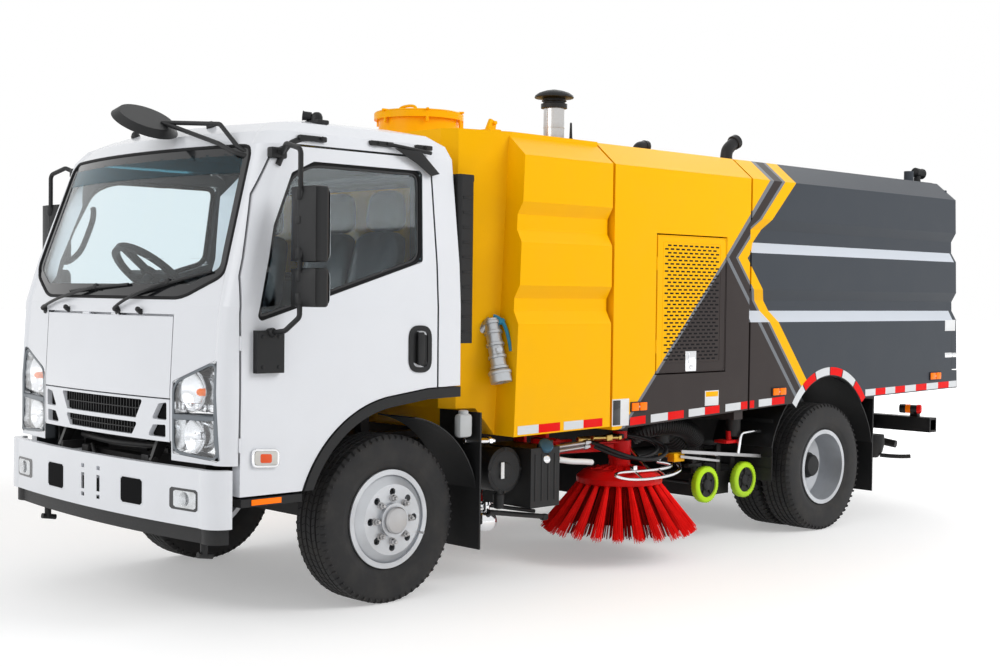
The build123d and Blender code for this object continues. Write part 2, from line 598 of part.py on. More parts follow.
rear_housing = join(
    rod((-rear_tube_half, WHEELBASE, TYRE_RADIUS), (rear_tube_half, WHEELBASE, TYRE_RADIUS), REAR_TUBE_RADIUS),
    rod((-75.0, WHEELBASE, TYRE_RADIUS), (75.0, WHEELBASE, TYRE_RADIUS), 150.0),
    rod((0.0, WHEELBASE - 250.0, TYRE_RADIUS + 20.0), (0.0, WHEELBASE - 60.0, TYRE_RADIUS + 10.0), 62.0),
    *[block(side * SPRING_X - 50.0, side * SPRING_X + 50.0, WHEELBASE - 70.0, WHEELBASE + 70.0,
            TYRE_RADIUS + 20.0, AXLE_PAD_TOP) for side in (-1, 1)],
)
keep("axles", join(front_beam, rear_housing))

# engine under the cab with gearbox, shaft and radiator
keep("drivetrain", join(
    block(-250.0, 250.0, -640.0, 120.0, 480.0, 850.0),
    block(-160.0, 160.0, 118.0, 560.0, 430.0, 700.0),
    rod((0.0, 555.0, 510.0), (0.0, WHEELBASE - 250.0, TYRE_RADIUS + 52.0), 36.0),
    block(-290.0, 290.0, -800.0, -740.0, 560.0, 850.0),
    block(-60.0, 60.0, -745.0, -635.0, 640.0, 700.0),
    *[block(side * 249.0 if side > 0 else -inner_half, inner_half if side > 0 else -249.0, -420.0, -340.0, 600.0, 660.0)
      for side in (-1, 1)],
))

# ---------------------------------------------------------------- front bumper and apron
BUMPER_TOP, BUMPER_BOTTOM, BUMPER_DEPTH = 688.0, 447.0, 32.0
APRON_FACE, APRON_BACK = 24.0, 54.0
BUMPER_END_X, BUMPER_END_Y = 928.0, -912.0


def bumper_wall(front_inset, z_from, z_to, rear_end=BUMPER_END_Y):
    """Wrap-round block in plan, from the bumper face inwards."""
    with BuildPart() as wall:
        with BuildSketch(Plane.XY.offset(z_from)):
            with BuildLine():
                half = BUMPER_END_X - front_inset
                face_y = along(-FRONT_OVERHANG + front_inset)
                corner = (812.0 - front_inset * 0.6, along(-999.0 + front_inset))
                end = (half, along(rear_end))
                Line((-half, end[1]), (half, end[1]))
                TangentArc(end, corner, tangent=(0, -1))
                ThreePointArc(corner, (0, face_y), (-corner[0], corner[1]))
                TangentArc((-half, end[1]), (-corner[0], corner[1]), tangent=(0, -1))
            make_face()
        extrude(amount=z_to - z_from)
    return wall.part


square_holes = [
    front_prism(((side * 335.0, 512.0), (side * 418.0, 512.0), (side * 418.0, 600.0), (side * 335.0, 600.0)),
                -1200.0, -940.0, 10.0) for side in (-1, 1)
]
plate_slots = [
    block(x - 14.0, x + 14.0, -1200.0, -940.0, z - 9.0 if short else z - 36.0, z + 9.0 if short else z + 36.0)
    for x in (-70.0, 70.0) for z, short in ((628.0, True), (560.0, False), (500.0, True))
]
LAMP_POCKET = ((690.0, 520.0), (800.0, 520.0), (800.0, 600.0), (690.0, 600.0))
fog_pocket = front_prism(LAMP_POCKET, -1200.0, -900.0, 12.0)
bumper_carriers = [
    block(x - 25.0, x + 25.0, -FRONT_OVERHANG + BUMPER_DEPTH - 8.0, FRAME_FRONT, 612.0, 672.0) for x in (-345.0, 345.0)
]
bumper_shell = join(
    bumper_wall(0.0, BUMPER_BOTTOM, BUMPER_TOP),
    cut=[bumper_wall(BUMPER_DEPTH, BUMPER_BOTTOM - 1.0, BUMPER_TOP + 1.0, BUMPER_END_Y + 20.0),
         *square_holes, *plate_slots, fog_pocket, mirrored(fog_pocket)])
keep("front_bumper", join(bumper_shell, *bumper_carriers))
apron = join(
    bumper_wall(APRON_FACE, 380.0, BUMPER_BOTTOM),
    cut=[bumper_wall(APRON_BACK, 370.0, BUMPER_BOTTOM + 1.0, BUMPER_END_Y + 20.0)])
spray_taps = [
    join(rod((side * 700.0, -900.0, 300.0), (side * 700.0, -900.0, 390.0), 16.0),
         rod((side * 700.0, -930.0, 312.0), (side * 700.0, -860.0, 300.0), 13.0),
         block(side * 700.0 - 30.0, side * 700.0 + 30.0, -975.0, -885.0, 385.0, 400.0))
    for side in (-1, 1)
]
keep("front_apron", join(apron, *spray_taps))

# ---------------------------------------------------------------- mudguards
flap_front = join(
    block(640.0, 930.0, 474.0, 484.0, 205.0, 860.0),
    block(FRAME_HALF_WIDTH, 660.0, 476.0, 500.0, 640.0, 700.0),
)
flap_rear = join(
    block(500.0, 935.0, WHEELBASE + 560.0, WHEELBASE + 570.0, 190.0, 780.0),
    block(FRAME_HALF_WIDTH, 520.0, WHEELBASE + 562.0, WHEELBASE + 600.0, 640.0, 700.0),
)
keep("mudguards", join(flap_front, mirrored(flap_front), flap_rear, mirrored(flap_rear)))

# ---------------------------------------------------------------- tanks beside the frame
fluid_tank = join(
    block(560.0, 905.0, 845.0, 1050.0, 363.0, 660.0),
    rod((850.0, 1010.0, 655.0), (850.0, 1010.0, 690.0), 34.0),
    block(FRAME_HALF_WIDTH, 565.0, 880.0, 940.0, 560.0, 640.0),
)
canister = join(
    rod((600.0, 715.0, 560.0), (850.0, 715.0, 560.0), 108.0),
    block(FRAME_HALF_WIDTH, 605.0, 690.0, 740.0, 560.0, 620.0),
)
keep("left_tanks", join(fluid_tank, canister))
fuel_tank = join(
    block(-900.0, -520.0, 560.0, 1160.0, 330.0, 690.0),
    rod((-880.0, 700.0, 600.0), (-930.0, 700.0, 640.0), 30.0),
    block(-525.0, -FRAME_HALF_WIDTH, 640.0, 700.0, 560.0, 640.0),
    block(-525.0, -FRAME_HALF_WIDTH, 1000.0, 1060.0, 560.0, 640.0),
)
keep("right_tanks", fuel_tank)

# ---------------------------------------------------------------- body section with ribs
# columns: top of groove, top of its floor, bottom of its floor, bottom of groove
GROOVES = ((1870.0, 1810.0, 1735.0, 1675.0), (1467.0, 1405.0, 1345.0, 1280.0))


def body_section(inset, ribbed, bottom):
    """Cross-section outline of the body as (x, height), moved inwards by the inset."""
    half = BODY_HALF_WIDTH - inset
    right = [(ROOF_HALF_WIDTH - inset * 0.6, ROOF_Z - inset), (half, SHOULDER_Z - inset * 0.6)]
    if ribbed:
        for top, floor_top, floor_bottom, low in GROOVES:
            right += [(half, top), (half - RIB_DEPTH, floor_top), (half - RIB_DEPTH, floor_bottom), (half, low)]
    right.append((half, bottom))
    return right + [(-x, z) for x, z in reversed(right)]


# ---------------------------------------------------------------- water tank
tank_core = common(
    plan_prism(((-732.0, TANK_FRONT), (732.0, TANK_FRONT), (800.0, 432.0), (TANK_HALF_WIDTH, 702.0),
                (TANK_HALF_WIDTH, TANK_REAR), (-TANK_HALF_WIDTH, TANK_REAR), (-TANK_HALF_WIDTH, 702.0),
                (-800.0, 432.0)), 700.0, 2300.0, 0.0),
    side_prism(((TANK_FRONT - 1.0, 872.0), (531.0, 872.0), (629.0, 741.0), (TANK_REAR, 751.0), (TANK_REAR, 2213.0),
                (TANK_FRONT - 1.0, 2213.0)), -REACH, REACH),
)
side_cover = common(
    front_prism(body_section(0.0, True, 700.0), 600.0, TANK_REAR),
    side_prism(((629.0, 739.0), (TANK_REAR, 751.0), (TANK_REAR, 2213.0), (689.0, 2213.0)), -REACH, REACH),
)
MANHOLE_Y, MANHOLE_X, MANHOLE_RADIUS = 870.0, 0.0, 215.0
MANHOLE_TOP = 2345.0
LID_PIN_Y, LID_PIN_Z, LID_PIN_RADIUS = MANHOLE_Y + MANHOLE_RADIUS + 55.0, MANHOLE_TOP + 22.0, 8.0
lid_ears = [
    join(
        side_prism(((LID_PIN_Y - 12.0, ROOF_Z - 2.0), (LID_PIN_Y + 16.0, ROOF_Z - 2.0), (LID_PIN_Y + 12.0, LID_PIN_Z + 12.0),
                    (LID_PIN_Y - 8.0, LID_PIN_Z + 12.0), (LID_PIN_Y - 13.0, LID_PIN_Z + 2.0)), x_from, x_from + 12.0),
        cut=[rod((x_from - 5.0, LID_PIN_Y, LID_PIN_Z), (x_from + 17.0, LID_PIN_Y, LID_PIN_Z),
                 LID_PIN_RADIUS + CONTACT_GAP)])
    for x_from in (-46.0, 34.0)
]
tank_saddles = [block(-500.0, 500.0, y - 40.0, y + 40.0, FRAME_TOP, 760.0) for y in (700.0, 1240.0)]
keep("water_tank", join(
    tank_core, side_cover, *tank_saddles,
    rod((MANHOLE_X, MANHOLE_Y, ROOF_Z - 2.0), (MANHOLE_X, MANHOLE_Y, MANHOLE_TOP), MANHOLE_RADIUS),
    *lid_ears,
))
keep("manhole_lid", join(
    rod((MANHOLE_X, MANHOLE_Y, MANHOLE_TOP + CONTACT_GAP), (MANHOLE_X, MANHOLE_Y, MANHOLE_TOP + 34.0),
        MANHOLE_RADIUS + 25.0),
    rod((MANHOLE_X, MANHOLE_Y, MANHOLE_TOP + 32.0), (MANHOLE_X, MANHOLE_Y, MANHOLE_TOP + 52.0), 150.0),
    rod((-50.0, LID_PIN_Y, LID_PIN_Z), (50.0, LID_PIN_Y, LID_PIN_Z), LID_PIN_RADIUS),
    block(-30.0, 30.0, MANHOLE_Y + MANHOLE_RADIUS + 5.0, LID_PIN_Y + 4.0, MANHOLE_TOP + 14.0, MANHOLE_TOP + 30.0),
))

# hydrant coupling on the slanting front corner of the tank
coupling_top = (868.0, 600.0, 1290.0)
coupling_bottom = (950.0, 590.0, 1010.0)
keep("hydrant_coupling", join(
    rod((820.0, 575.0, 1250.0), coupling_top, 30.0),
    rod((862.0, 601.0, 1300.0), coupling_bottom, 38.0),
    rod((938.0, 591.0, 1050.0), (952.0, 590.0, 1000.0), 52.0),
    cut=[rod((930.0, 592.0, 1080.0), (956.0, 589.0, 985.0), 26.0), tank_core, side_cover],
))

# ---------------------------------------------------------------- engine bay
DOOR_PANEL = (1672.0, 2280.0, 1005.0, 1755.0)
BAY_BOTTOM_FRONT, BAY_BOTTOM_REAR = 733.0, 781.0
bay_outer = common(
    front_prism(body_section(0.0, False, 700.0), BAY_FRONT, BAY_REAR),
    side_prism(((BAY_FRONT, BAY_BOTTOM_FRONT), (BAY_REAR, BAY_BOTTOM_REAR), (BAY_REAR, 2300.0), (BAY_FRONT, 2300.0)),
               -REACH, REACH))
bay_inner = front_prism(body_section(PANEL_WALL, False, 600.0), BAY_FRONT + PANEL_WALL, BAY_REAR - PANEL_WALL)
bay_door_hole = side_prism(
    ((DOOR_PANEL[0], DOOR_PANEL[2]), (DOOR_PANEL[1], DOOR_PANEL[2]), (DOOR_PANEL[1], DOOR_PANEL[3]),
     (DOOR_PANEL[0], DOOR_PANEL[3])), 900.0, REACH)
bay_bearers = [
    block(-BODY_HALF_WIDTH + 10.0, BODY_HALF_WIDTH - 10.0, y - 40.0, y + 40.0, FRAME_TOP, FRAME_TOP + 70.0)
    for y in (1400.0, 2420.0)
]
bay_shell = join(bay_outer, cut=[bay_inner, bay_door_hole, mirrored(bay_door_hole)])
keep("engine_bay", join(bay_shell, *bay_bearers))
SERVICE_GAP = 8.0
service_pin = SERVICE_GAP / 2 - CONTACT_GAP
service_door = join(
    block(BODY_HALF_WIDTH - 30.0, BODY_HALF_WIDTH, DOOR_PANEL[0] + SERVICE_GAP, DOOR_PANEL[1] - SERVICE_GAP,
          DOOR_PANEL[2] + SERVICE_GAP, DOOR_PANEL[3] - SERVICE_GAP),
    *[join(
        rod((BODY_HALF_WIDTH, DOOR_PANEL[0] + SERVICE_GAP / 2, z), (BODY_HALF_WIDTH, DOOR_PANEL[0] + SERVICE_GAP / 2,
                                                                 z + 70.0), service_pin),
        block(BODY_HALF_WIDTH - 3.5, BODY_HALF_WIDTH, DOOR_PANEL[0] + SERVICE_GAP / 2, DOOR_PANEL[0] + SERVICE_GAP + 2.0,
              z, z + 70.0)) for z in (1120.0, 1560.0)],
)
keep("service_door_left", service_door)
keep("service_door_right", mirrored(service_door))
keep("auxiliary_engine", join(
    block(-330.0, 330.0, 1560.0, 2330.0, 860.0, 1560.0),
    *[block(-330.0, 330.0, y - 40.0, y + 40.0, FRAME_TOP, 862.0) for y in (1640.0, 2240.0)],
))
STACK_X, STACK_Y = 400.0, 1500.0
keep("exhaust_stack", join(
    rod((STACK_X, STACK_Y, ROOF_Z), (STACK_X, STACK_Y, 2450.0), 57.0),
    rod((STACK_X, STACK_Y, ROOF_Z), (STACK_X, STACK_Y, ROOF_Z + 12.0), 85.0),
    rod((STACK_X, STACK_Y, 2440.0), (STACK_X, STACK_Y, 2475.0), 72.0),
    rod((STACK_X, STACK_Y, 2470.0), (STACK_X, STACK_Y, 2515.0), 62.0),
    rod((STACK_X, STACK_Y, 2500.0), (STACK_X, STACK_Y, 2518.0), 108.0),
    rod((STACK_X, STACK_Y, 2516.0), (STACK_X, STACK_Y, 2545.0), 70.0),
    rod((400.0, 2200.0, ROOF_Z), (400.0, 2200.0, ROOF_Z + 80.0), 34.0),
))

# ---------------------------------------------------------------- hopper and tailgate
hopper_outline = (
    (HOPPER_FRONT, 782.0), (2937.0, 799.0), (3711.0, 803.0),
    (BODY_REAR_BOTTOM - TAILGATE_THICKNESS - 6.0, REAR_SKIRT_BOTTOM),
    (BODY_REAR_TOP - TAILGATE_THICKNESS - 6.0, 2300.0),
    (HOPPER_FRONT, 2300.0))
with BuildPart() as rear_arch:
    with BuildSketch(Plane.YZ.offset(-REACH)):
        with BuildLine():
            ThreePointArc((along(2937.0), 797.0), (along(3330.0), 998.0), (along(3711.0), 797.0))
            Polyline((along(3711.0), 797.0), (along(3711.0), 700.0), (along(2937.0), 700.0), (along(2937.0), 797.0))
        make_face()
    extrude(amount=2 * REACH)
hopper_outer = common(
    front_prism(body_section(0.0, True, 700.0), HOPPER_FRONT, BODY_REAR_BOTTOM),
    side_prism(hopper_outline, -REACH, REACH))
hopper_hollow = common(
    front_prism(body_section(PANEL_WALL, True, 700.0), HOPPER_FRONT + PANEL_WALL, BODY_REAR_BOTTOM + 50.0),
    block(-REACH, REACH, HOPPER_FRONT, BODY_REAR_BOTTOM + 100.0, HOPPER_FLOOR + FLOOR_THICKNESS, 2400.0))
hopper_belly = common(
    front_prism(body_section(PANEL_WALL, True, 600.0), HOPPER_FRONT - 10.0, BODY_REAR_BOTTOM + 50.0),
    block(-REACH, REACH, HOPPER_FRONT - 20.0, BODY_REAR_BOTTOM + 100.0, 600.0, HOPPER_FLOOR))
hopper_shell = join(hopper_outer, cut=[hopper_hollow, hopper_belly, rear_arch.part])
# corner skirts behind the side walls, below the tailgate and clear of the frame's pivot ears
rear_skirt = common(
    front_prism(body_section(0.0, True, REAR_SKIRT_BOTTOM), REAR_SKIRT_FRONT, BODY_REAR_BOTTOM + 1.0),
    side_prism(((REAR_SKIRT_FRONT, REAR_SKIRT_BOTTOM), (BODY_REAR_BOTTOM, REAR_SKIRT_BOTTOM), (BODY_REAR_TOP, ROOF_Z),
                (REAR_SKIRT_FRONT, ROOF_Z)), -REACH, REACH),
    block(REAR_SKIRT_INNER, REACH, REAR_SKIRT_FRONT, BODY_REAR_BOTTOM, REAR_SKIRT_BOTTOM,
          TAILGATE_BOTTOM - SERVICE_GAP))
hopper_ears = []
for x in (-430.0, 430.0):
    hopper_ears.append(join(
        side_prism(((TIP_PIVOT_Y - 110.0, HOPPER_FLOOR + 5.0), (TIP_PIVOT_Y - 40.0, TIP_PIVOT_Z - 40.0),
                    (TIP_PIVOT_Y + 40.0, TIP_PIVOT_Z - 40.0), (TIP_PIVOT_Y + 45.0, HOPPER_FLOOR + 5.0)),
                   x - 20.0, x + 20.0)))
tip_pins = [
    rod((side * 310.0, TIP_PIVOT_Y, TIP_PIVOT_Z), (side * 440.0, TIP_PIVOT_Y, TIP_PIVOT_Z), TIP_PIN_RADIUS)
    for side in (-1, 1)
]
ROD_EYE_Y, ROD_EYE_Z = 3700.0, 960.0
CYLINDER_Y, CYLINDER_Z = 2880.0, 640.0
EYE_PIN_RADIUS = 18.0
EAR_INNER = 40.0
rod_ears = [
    block(x - 12.0, x + 12.0, ROD_EYE_Y - 45.0, ROD_EYE_Y + 45.0, ROD_EYE_Z - 40.0, HOPPER_FLOOR + 5.0)
    for x in (-EAR_INNER - 12.0, EAR_INNER + 12.0)
]
SILL_FRONT, SILL_REAR = 2560.0, 4600.0
hopper_sills = [
    block(side * SPRING_X - 25.0, side * SPRING_X + 25.0, SILL_FRONT, SILL_REAR, FRAME_TOP + CONTACT_GAP,
          HOPPER_FLOOR + 5.0) for side in (-1, 1)
]
rear_beacon = rod((760.0, 4600.0, ROOF_Z - 1.0), (760.0, 4600.0, ROOF_Z + 75.0), 32.0)
keep("hopper", join(
    hopper_shell, rear_skirt, mirrored(rear_skirt), *hopper_ears, *tip_pins, *rod_ears, *hopper_sills, rear_beacon))

rear_slab = side_prism(
    ((BODY_REAR_BOTTOM - TAILGATE_THICKNESS, REAR_SKIRT_BOTTOM), (BODY_REAR_BOTTOM, REAR_SKIRT_BOTTOM),
     (BODY_REAR_TOP, ROOF_Z - 2.0), (BODY_REAR_TOP - TAILGATE_THICKNESS, ROOF_Z - 2.0)), -REACH, REACH)
gate_shape = common(front_prism(body_section(2.0, True, TAILGATE_BOTTOM), 4600.0, BODY_REAR_BOTTOM + 1.0), rear_slab)
GATE_PIN_Y, GATE_PIN_Z = BODY_REAR_TOP - TAILGATE_THICKNESS + 20.0, ROOF_Z + 26.0
gate_lugs = [
    join(
        block(x - 30.0, x + 30.0, BODY_REAR_TOP - TAILGATE_THICKNESS + 2.0, BODY_REAR_TOP - 4.0, ROOF_Z - 10.0,
              GATE_PIN_Z + 14.0),
        rod((x - 80.0, GATE_PIN_Y, GATE_PIN_Z), (x + 80.0, GATE_PIN_Y, GATE_PIN_Z), 10.0))
    for x in (-500.0, 500.0)
]
keep("tailgate", join(gate_shape, *gate_lugs))

# ears on the hopper roof that hold the tailgate pins
GATE_EAR = ((4680.0, ROOF_Z - 2.0), (4728.0, ROOF_Z - 2.0), (4742.0, GATE_PIN_Z - 17.0), (4774.0, GATE_PIN_Z - 15.0),
            (4774.0, GATE_PIN_Z + 16.0), (4740.0, GATE_PIN_Z + 18.0), (4680.0, ROOF_Z + 14.0))
gate_ears = []
for x in (-500.0, 500.0):
    for x_from in (x - 62.0, x + 38.0):
        gate_ears.append(join(
            side_prism(GATE_EAR, x_from, x_from + 24.0),
            cut=[rod((x_from - 5.0, GATE_PIN_Y, GATE_PIN_Z), (x_from + 30.0, GATE_PIN_Y, GATE_PIN_Z),
                     10.0 + CONTACT_GAP)]))
keep("hopper", join(nodes["hopper"], *gate_ears))

# ---------------------------------------------------------------- hoist cylinder under the hopper
BARREL_RADIUS, ROD_RADIUS, EYE_RADIUS = 48.0, 28.0, 34.0
hoist_start = Vector(0.0, along(CYLINDER_Y), CYLINDER_Z)
hoist_end = Vector(0.0, along(ROD_EYE_Y), ROD_EYE_Z)
hoist_axis = (hoist_end - hoist_start).normalized()
HOIST_LENGTH = (hoist_end - hoist_start).length


def on_hoist(distance):
    """Point on the cylinder's axis as (x, distance behind front axle, height)."""
    point = hoist_start + hoist_axis * distance
    return (point.X, point.Y - FRONT_AXLE_Y, point.Z)


def eye(place, radius, pin_radius, half_width):
    """Pin eye across the truck with its hole."""
    return join(
        rod((-half_width, place[1], place[2]), (half_width, place[1], place[2]), radius),
        cut=[rod((-half_width - 5.0, place[1], place[2]), (half_width + 5.0, place[1], place[2]),
                 pin_radius + CONTACT_GAP)])


BARREL_START, BARREL_END_GAP, BARREL_CAP = 52.0, 74.0, 12.0
barrel_bore = rod(on_hoist(BARREL_START + BARREL_CAP), on_hoist(HOIST_LENGTH), ROD_RADIUS + CONTACT_GAP)
keep("hoist_barrel", join(
    eye(on_hoist(0.0), EYE_RADIUS, EYE_PIN_RADIUS, 30.0),
    rod(on_hoist(26.0), on_hoist(BARREL_START + 2.0), 28.0),
    join(rod(on_hoist(BARREL_START), on_hoist(HOIST_LENGTH - BARREL_END_GAP), BARREL_RADIUS), cut=[barrel_bore]),
))
keep("hoist_rod", join(
    rod((-EAR_INNER + CONTACT_GAP, ROD_EYE_Y, ROD_EYE_Z), (EAR_INNER - CONTACT_GAP, ROD_EYE_Y, ROD_EYE_Z), EYE_RADIUS),
    rod(on_hoist(BARREL_START + BARREL_CAP + 6.0), on_hoist(HOIST_LENGTH - 10.0), ROD_RADIUS),
))
BRACKET_REACH = 32.0
hoist_bracket = join(
    *[block(x - 10.0, x + 10.0, CROSSMEMBER_YS[4] + 25.0, CYLINDER_Y + BRACKET_REACH, FRAME_BOTTOM + 60.0,
            CYLINDER_Z + BRACKET_REACH) for x in (-44.0, 44.0)],
    rod((-54.0, CYLINDER_Y, CYLINDER_Z), (54.0, CYLINDER_Y, CYLINDER_Z), EYE_PIN_RADIUS),
)

# ---------------------------------------------------------------- side brushes
BRUSH_X, BRUSH_Y = 740.0, 1695.0
BRUSH_TIP_RADIUS, BRUSH_TIP_Z = 438.0, 150.0
BRUSH_DISC_RADIUS, BRUSH_DISC_Z = 222.0, 440.0
TUFTS = 24
POST_X, POST_Y, POST_RADIUS = 520.0, 1290.0, 25.0
ARM_PIVOT_X, ARM_PIN_RADIUS = 620.0, 16.0
brush_post = join(
    rod((POST_X, POST_Y, 400.0), (POST_X, POST_Y, 704.0), POST_RADIUS),
    block(FRAME_HALF_WIDTH - 2.0, POST_X + 26.0, POST_Y - 30.0, POST_Y + 30.0, 668.0, 704.0),
)
carriage = join(
    rod((POST_X, POST_Y, 560.0), (POST_X, POST_Y, 655.0), 44.0),
    block(POST_X + 20.0, ARM_PIVOT_X, POST_Y - 14.0, POST_Y + 14.0, 592.0, 628.0),
    rod((ARM_PIVOT_X, POST_Y, 556.0), (ARM_PIVOT_X, POST_Y, 664.0), ARM_PIN_RADIUS),
    cut=[rod((POST_X, POST_Y, 540.0), (POST_X, POST_Y, 700.0), POST_RADIUS + CONTACT_GAP)],
)
arm_rings = join(
    *[rod((ARM_PIVOT_X, POST_Y, z), (ARM_PIVOT_X, POST_Y, z + 22.0), 32.0) for z in (560.0, 638.0)],
    cut=[rod((ARM_PIVOT_X, POST_Y, 540.0), (ARM_PIVOT_X, POST_Y, 700.0), ARM_PIN_RADIUS + CONTACT_GAP)],
)
arm_beam = plan_prism(
    ((638.0, POST_Y - 12.0), (662.0, POST_Y - 8.0), (BRUSH_X + 22.0, BRUSH_Y - 20.0), (BRUSH_X - 22.0, BRUSH_Y)),
    584.0, 622.0)
brush_arm = join(
    arm_rings,
    block(638.0, 660.0, POST_Y - 14.0, POST_Y + 20.0, 560.0, 660.0),
    arm_beam,
    rod((BRUSH_X, BRUSH_Y, 540.0), (BRUSH_X, BRUSH_Y, 640.0), 62.0),
    rod((BRUSH_X, BRUSH_Y, 638.0), (BRUSH_X, BRUSH_Y, 690.0), 40.0),
)
with BuildPart() as brush:
    with BuildSketch(Plane(origin=(BRUSH_X, along(BRUSH_Y), BRUSH_DISC_Z))):
        Circle(BRUSH_DISC_RADIUS)
    extrude(amount=26.0)
    with BuildSketch(Plane(origin=(BRUSH_X, along(BRUSH_Y), BRUSH_DISC_Z + 25.0))):
        Circle(BRUSH_DISC_RADIUS - 6.0)
    extrude(amount=30.0, taper=45.0)
    with BuildSketch(Plane(origin=(BRUSH_X, along(BRUSH_Y), BRUSH_DISC_Z + 50.0))):
        Circle(40.0)
    extrude(amount=540.0 - CONTACT_GAP - BRUSH_DISC_Z - 50.0)
tuft_root = Vector(BRUSH_DISC_RADIUS - 22.0, 0.0, BRUSH_DISC_Z + 12.0)
tuft_tip = Vector(BRUSH_TIP_RADIUS - 24.0, 0.0, BRUSH_TIP_Z + 14.0)
TUFT_ROOT_RADIUS, TUFT_TIP_RADIUS = 14.0, 25.0
with BuildPart() as tuft:
    with BuildSketch(Plane(origin=tuft_root, z_dir=tuft_tip - tuft_root)):
        Circle(TUFT_ROOT_RADIUS)
    with BuildSketch(Plane(origin=tuft_tip, z_dir=tuft_tip - tuft_root)):
        Circle(TUFT_TIP_RADIUS)
    loft()
with BuildPart() as tufted:
    add(brush.part)
    with Locations((BRUSH_X, along(BRUSH_Y), 0.0)):
        with PolarLocations(0.0, TUFTS):
            add(tuft.part)
for side_name, place in (("left", lambda shape: shape), ("right", mirrored)):
    keep("brush_carriage_" + side_name, place(carriage))
    keep("brush_arm_" + side_name, place(brush_arm))
    keep("brush_" + side_name, place(tufted.part))

# ---------------------------------------------------------------- suction nozzle, its wheels and pipe
NOZZLE_HALF, NOZZLE_FRONT, NOZZLE_REAR = 720.0, 2405.0, 2698.0
NOZZLE_BOTTOM, NOZZLE_TOP, NOZZLE_WALL = 262.0, 395.0, 16.0
NOZZLE_WHEEL_X, NOZZLE_WHEEL_RADIUS, NOZZLE_WHEEL_WIDTH, NOZZLE_WHEEL_Z = 800.0, 105.0, 46.0, 347.0
NOZZLE_WHEEL_YS = (2370.0, 2733.0)
SHAFT_RADIUS = 12.0
GUIDE_X, GUIDE_Y, GUIDE_RADIUS = 405.0, 2550.0, 14.0
hood = join(
    block(-NOZZLE_HALF, NOZZLE_HALF, NOZZLE_FRONT, NOZZLE_REAR, NOZZLE_BOTTOM, NOZZLE_TOP),
    cut=[block(-NOZZLE_HALF + NOZZLE_WALL, NOZZLE_HALF - NOZZLE_WALL, NOZZLE_FRONT + NOZZLE_WALL,
               NOZZLE_REAR - NOZZLE_WALL, NOZZLE_BOTTOM - 5.0, NOZZLE_TOP - NOZZLE_WALL)])
shaft_holes = [
    rod((-760.0, y, NOZZLE_WHEEL_Z), (760.0, y, NOZZLE_WHEEL_Z), SHAFT_RADIUS + CONTACT_GAP) for y in NOZZLE_WHEEL_YS
]
shaft_plates = [
    block(side * 712.0 - 10.0, side * 712.0 + 10.0, min(y, edge) - 24.0 * (y < edge), max(y, edge) + 24.0 * (y > edge),
          NOZZLE_WHEEL_Z - 26.0, NOZZLE_WHEEL_Z + 26.0)
    for side in (-1, 1) for y, edge in zip(NOZZLE_WHEEL_YS, (NOZZLE_FRONT + 2.0, NOZZLE_REAR - 2.0))
]
nozzle_rods = [
    rod((side * GUIDE_X, GUIDE_Y, NOZZLE_TOP - 4.0), (side * GUIDE_X, GUIDE_Y, 858.0), GUIDE_RADIUS)
    for side in (-1, 1)
]
keep("suction_nozzle", join(hood, *shaft_plates, *nozzle_rods, cut=shaft_holes))
for name, y in zip(("nozzle_wheels_front", "nozzle_wheels_rear"), NOZZLE_WHEEL_YS):
    parts = [rod((-NOZZLE_WHEEL_X, y, NOZZLE_WHEEL_Z), (NOZZLE_WHEEL_X, y, NOZZLE_WHEEL_Z), SHAFT_RADIUS)]
    for side in (-1, 1):
        inner = side * NOZZLE_WHEEL_X - NOZZLE_WHEEL_WIDTH / 2
        parts.append(rod((inner, y, NOZZLE_WHEEL_Z), (inner + NOZZLE_WHEEL_WIDTH, y, NOZZLE_WHEEL_Z),
                         NOZZLE_WHEEL_RADIUS))
    keep(name, join(*parts))
guide_bracket = join(
    block(FRAME_HALF_WIDTH - 2.0, GUIDE_X + 30.0, GUIDE_Y - 30.0, GUIDE_Y + 30.0, 560.0, 620.0),
    cut=[rod((GUIDE_X, GUIDE_Y, 540.0), (GUIDE_X, GUIDE_Y, 640.0), GUIDE_RADIUS + CONTACT_GAP)])
PIPE_RADIUS = 75.0
pipe = bent_tube(((620.0, 2240.0, 860.0), (620.0, 2240.0, 640.0), (570.0, 2530.0, 530.0), (570.0, 2550.0, 412.0)),
                 PIPE_RADIUS, 85.0)
keep("suction_pipe", join(pipe, block(FRAME_HALF_WIDTH, 560.0, 2225.0, 2255.0, 680.0, 720.0)))

keep("frame", join(
    nodes["frame"], hoist_bracket, brush_post, mirrored(brush_post), guide_bracket, mirrored(guide_bracket)))


# ---------------------------------------------------------------- wheels and knuckles
def tyre(centre_x, y):
    """Plain tyre with rounded shoulders, standing on the ground."""
    half = TYRE_WIDTH / 2
    bead = RIM_RADIUS - 15.0 + CONTACT_GAP
    with BuildPart() as ring:
        with BuildSketch(Plane(origin=(centre_x, along(y), TYRE_RADIUS), x_dir=(1, 0, 0), z_dir=(0, -1, 0))) as face:
            with BuildLine():
                Polyline((-86.0, bead), (-86.0, RIM_RADIUS + 3.0), (-98.0, 250.0), (-half, 300.0), (-half + 2.0, 345.0),
                         (-90.0, TYRE_RADIUS), (90.0, TYRE_RADIUS), (half - 2.0, 345.0), (half, 300.0), (98.0, 250.0),
                         (86.0, RIM_RADIUS + 3.0), (86.0, bead), close=True)
            make_face()
        revolve(axis=Axis((centre_x, along(y), TYRE_RADIUS), (1, 0, 0)))
    return ring.part


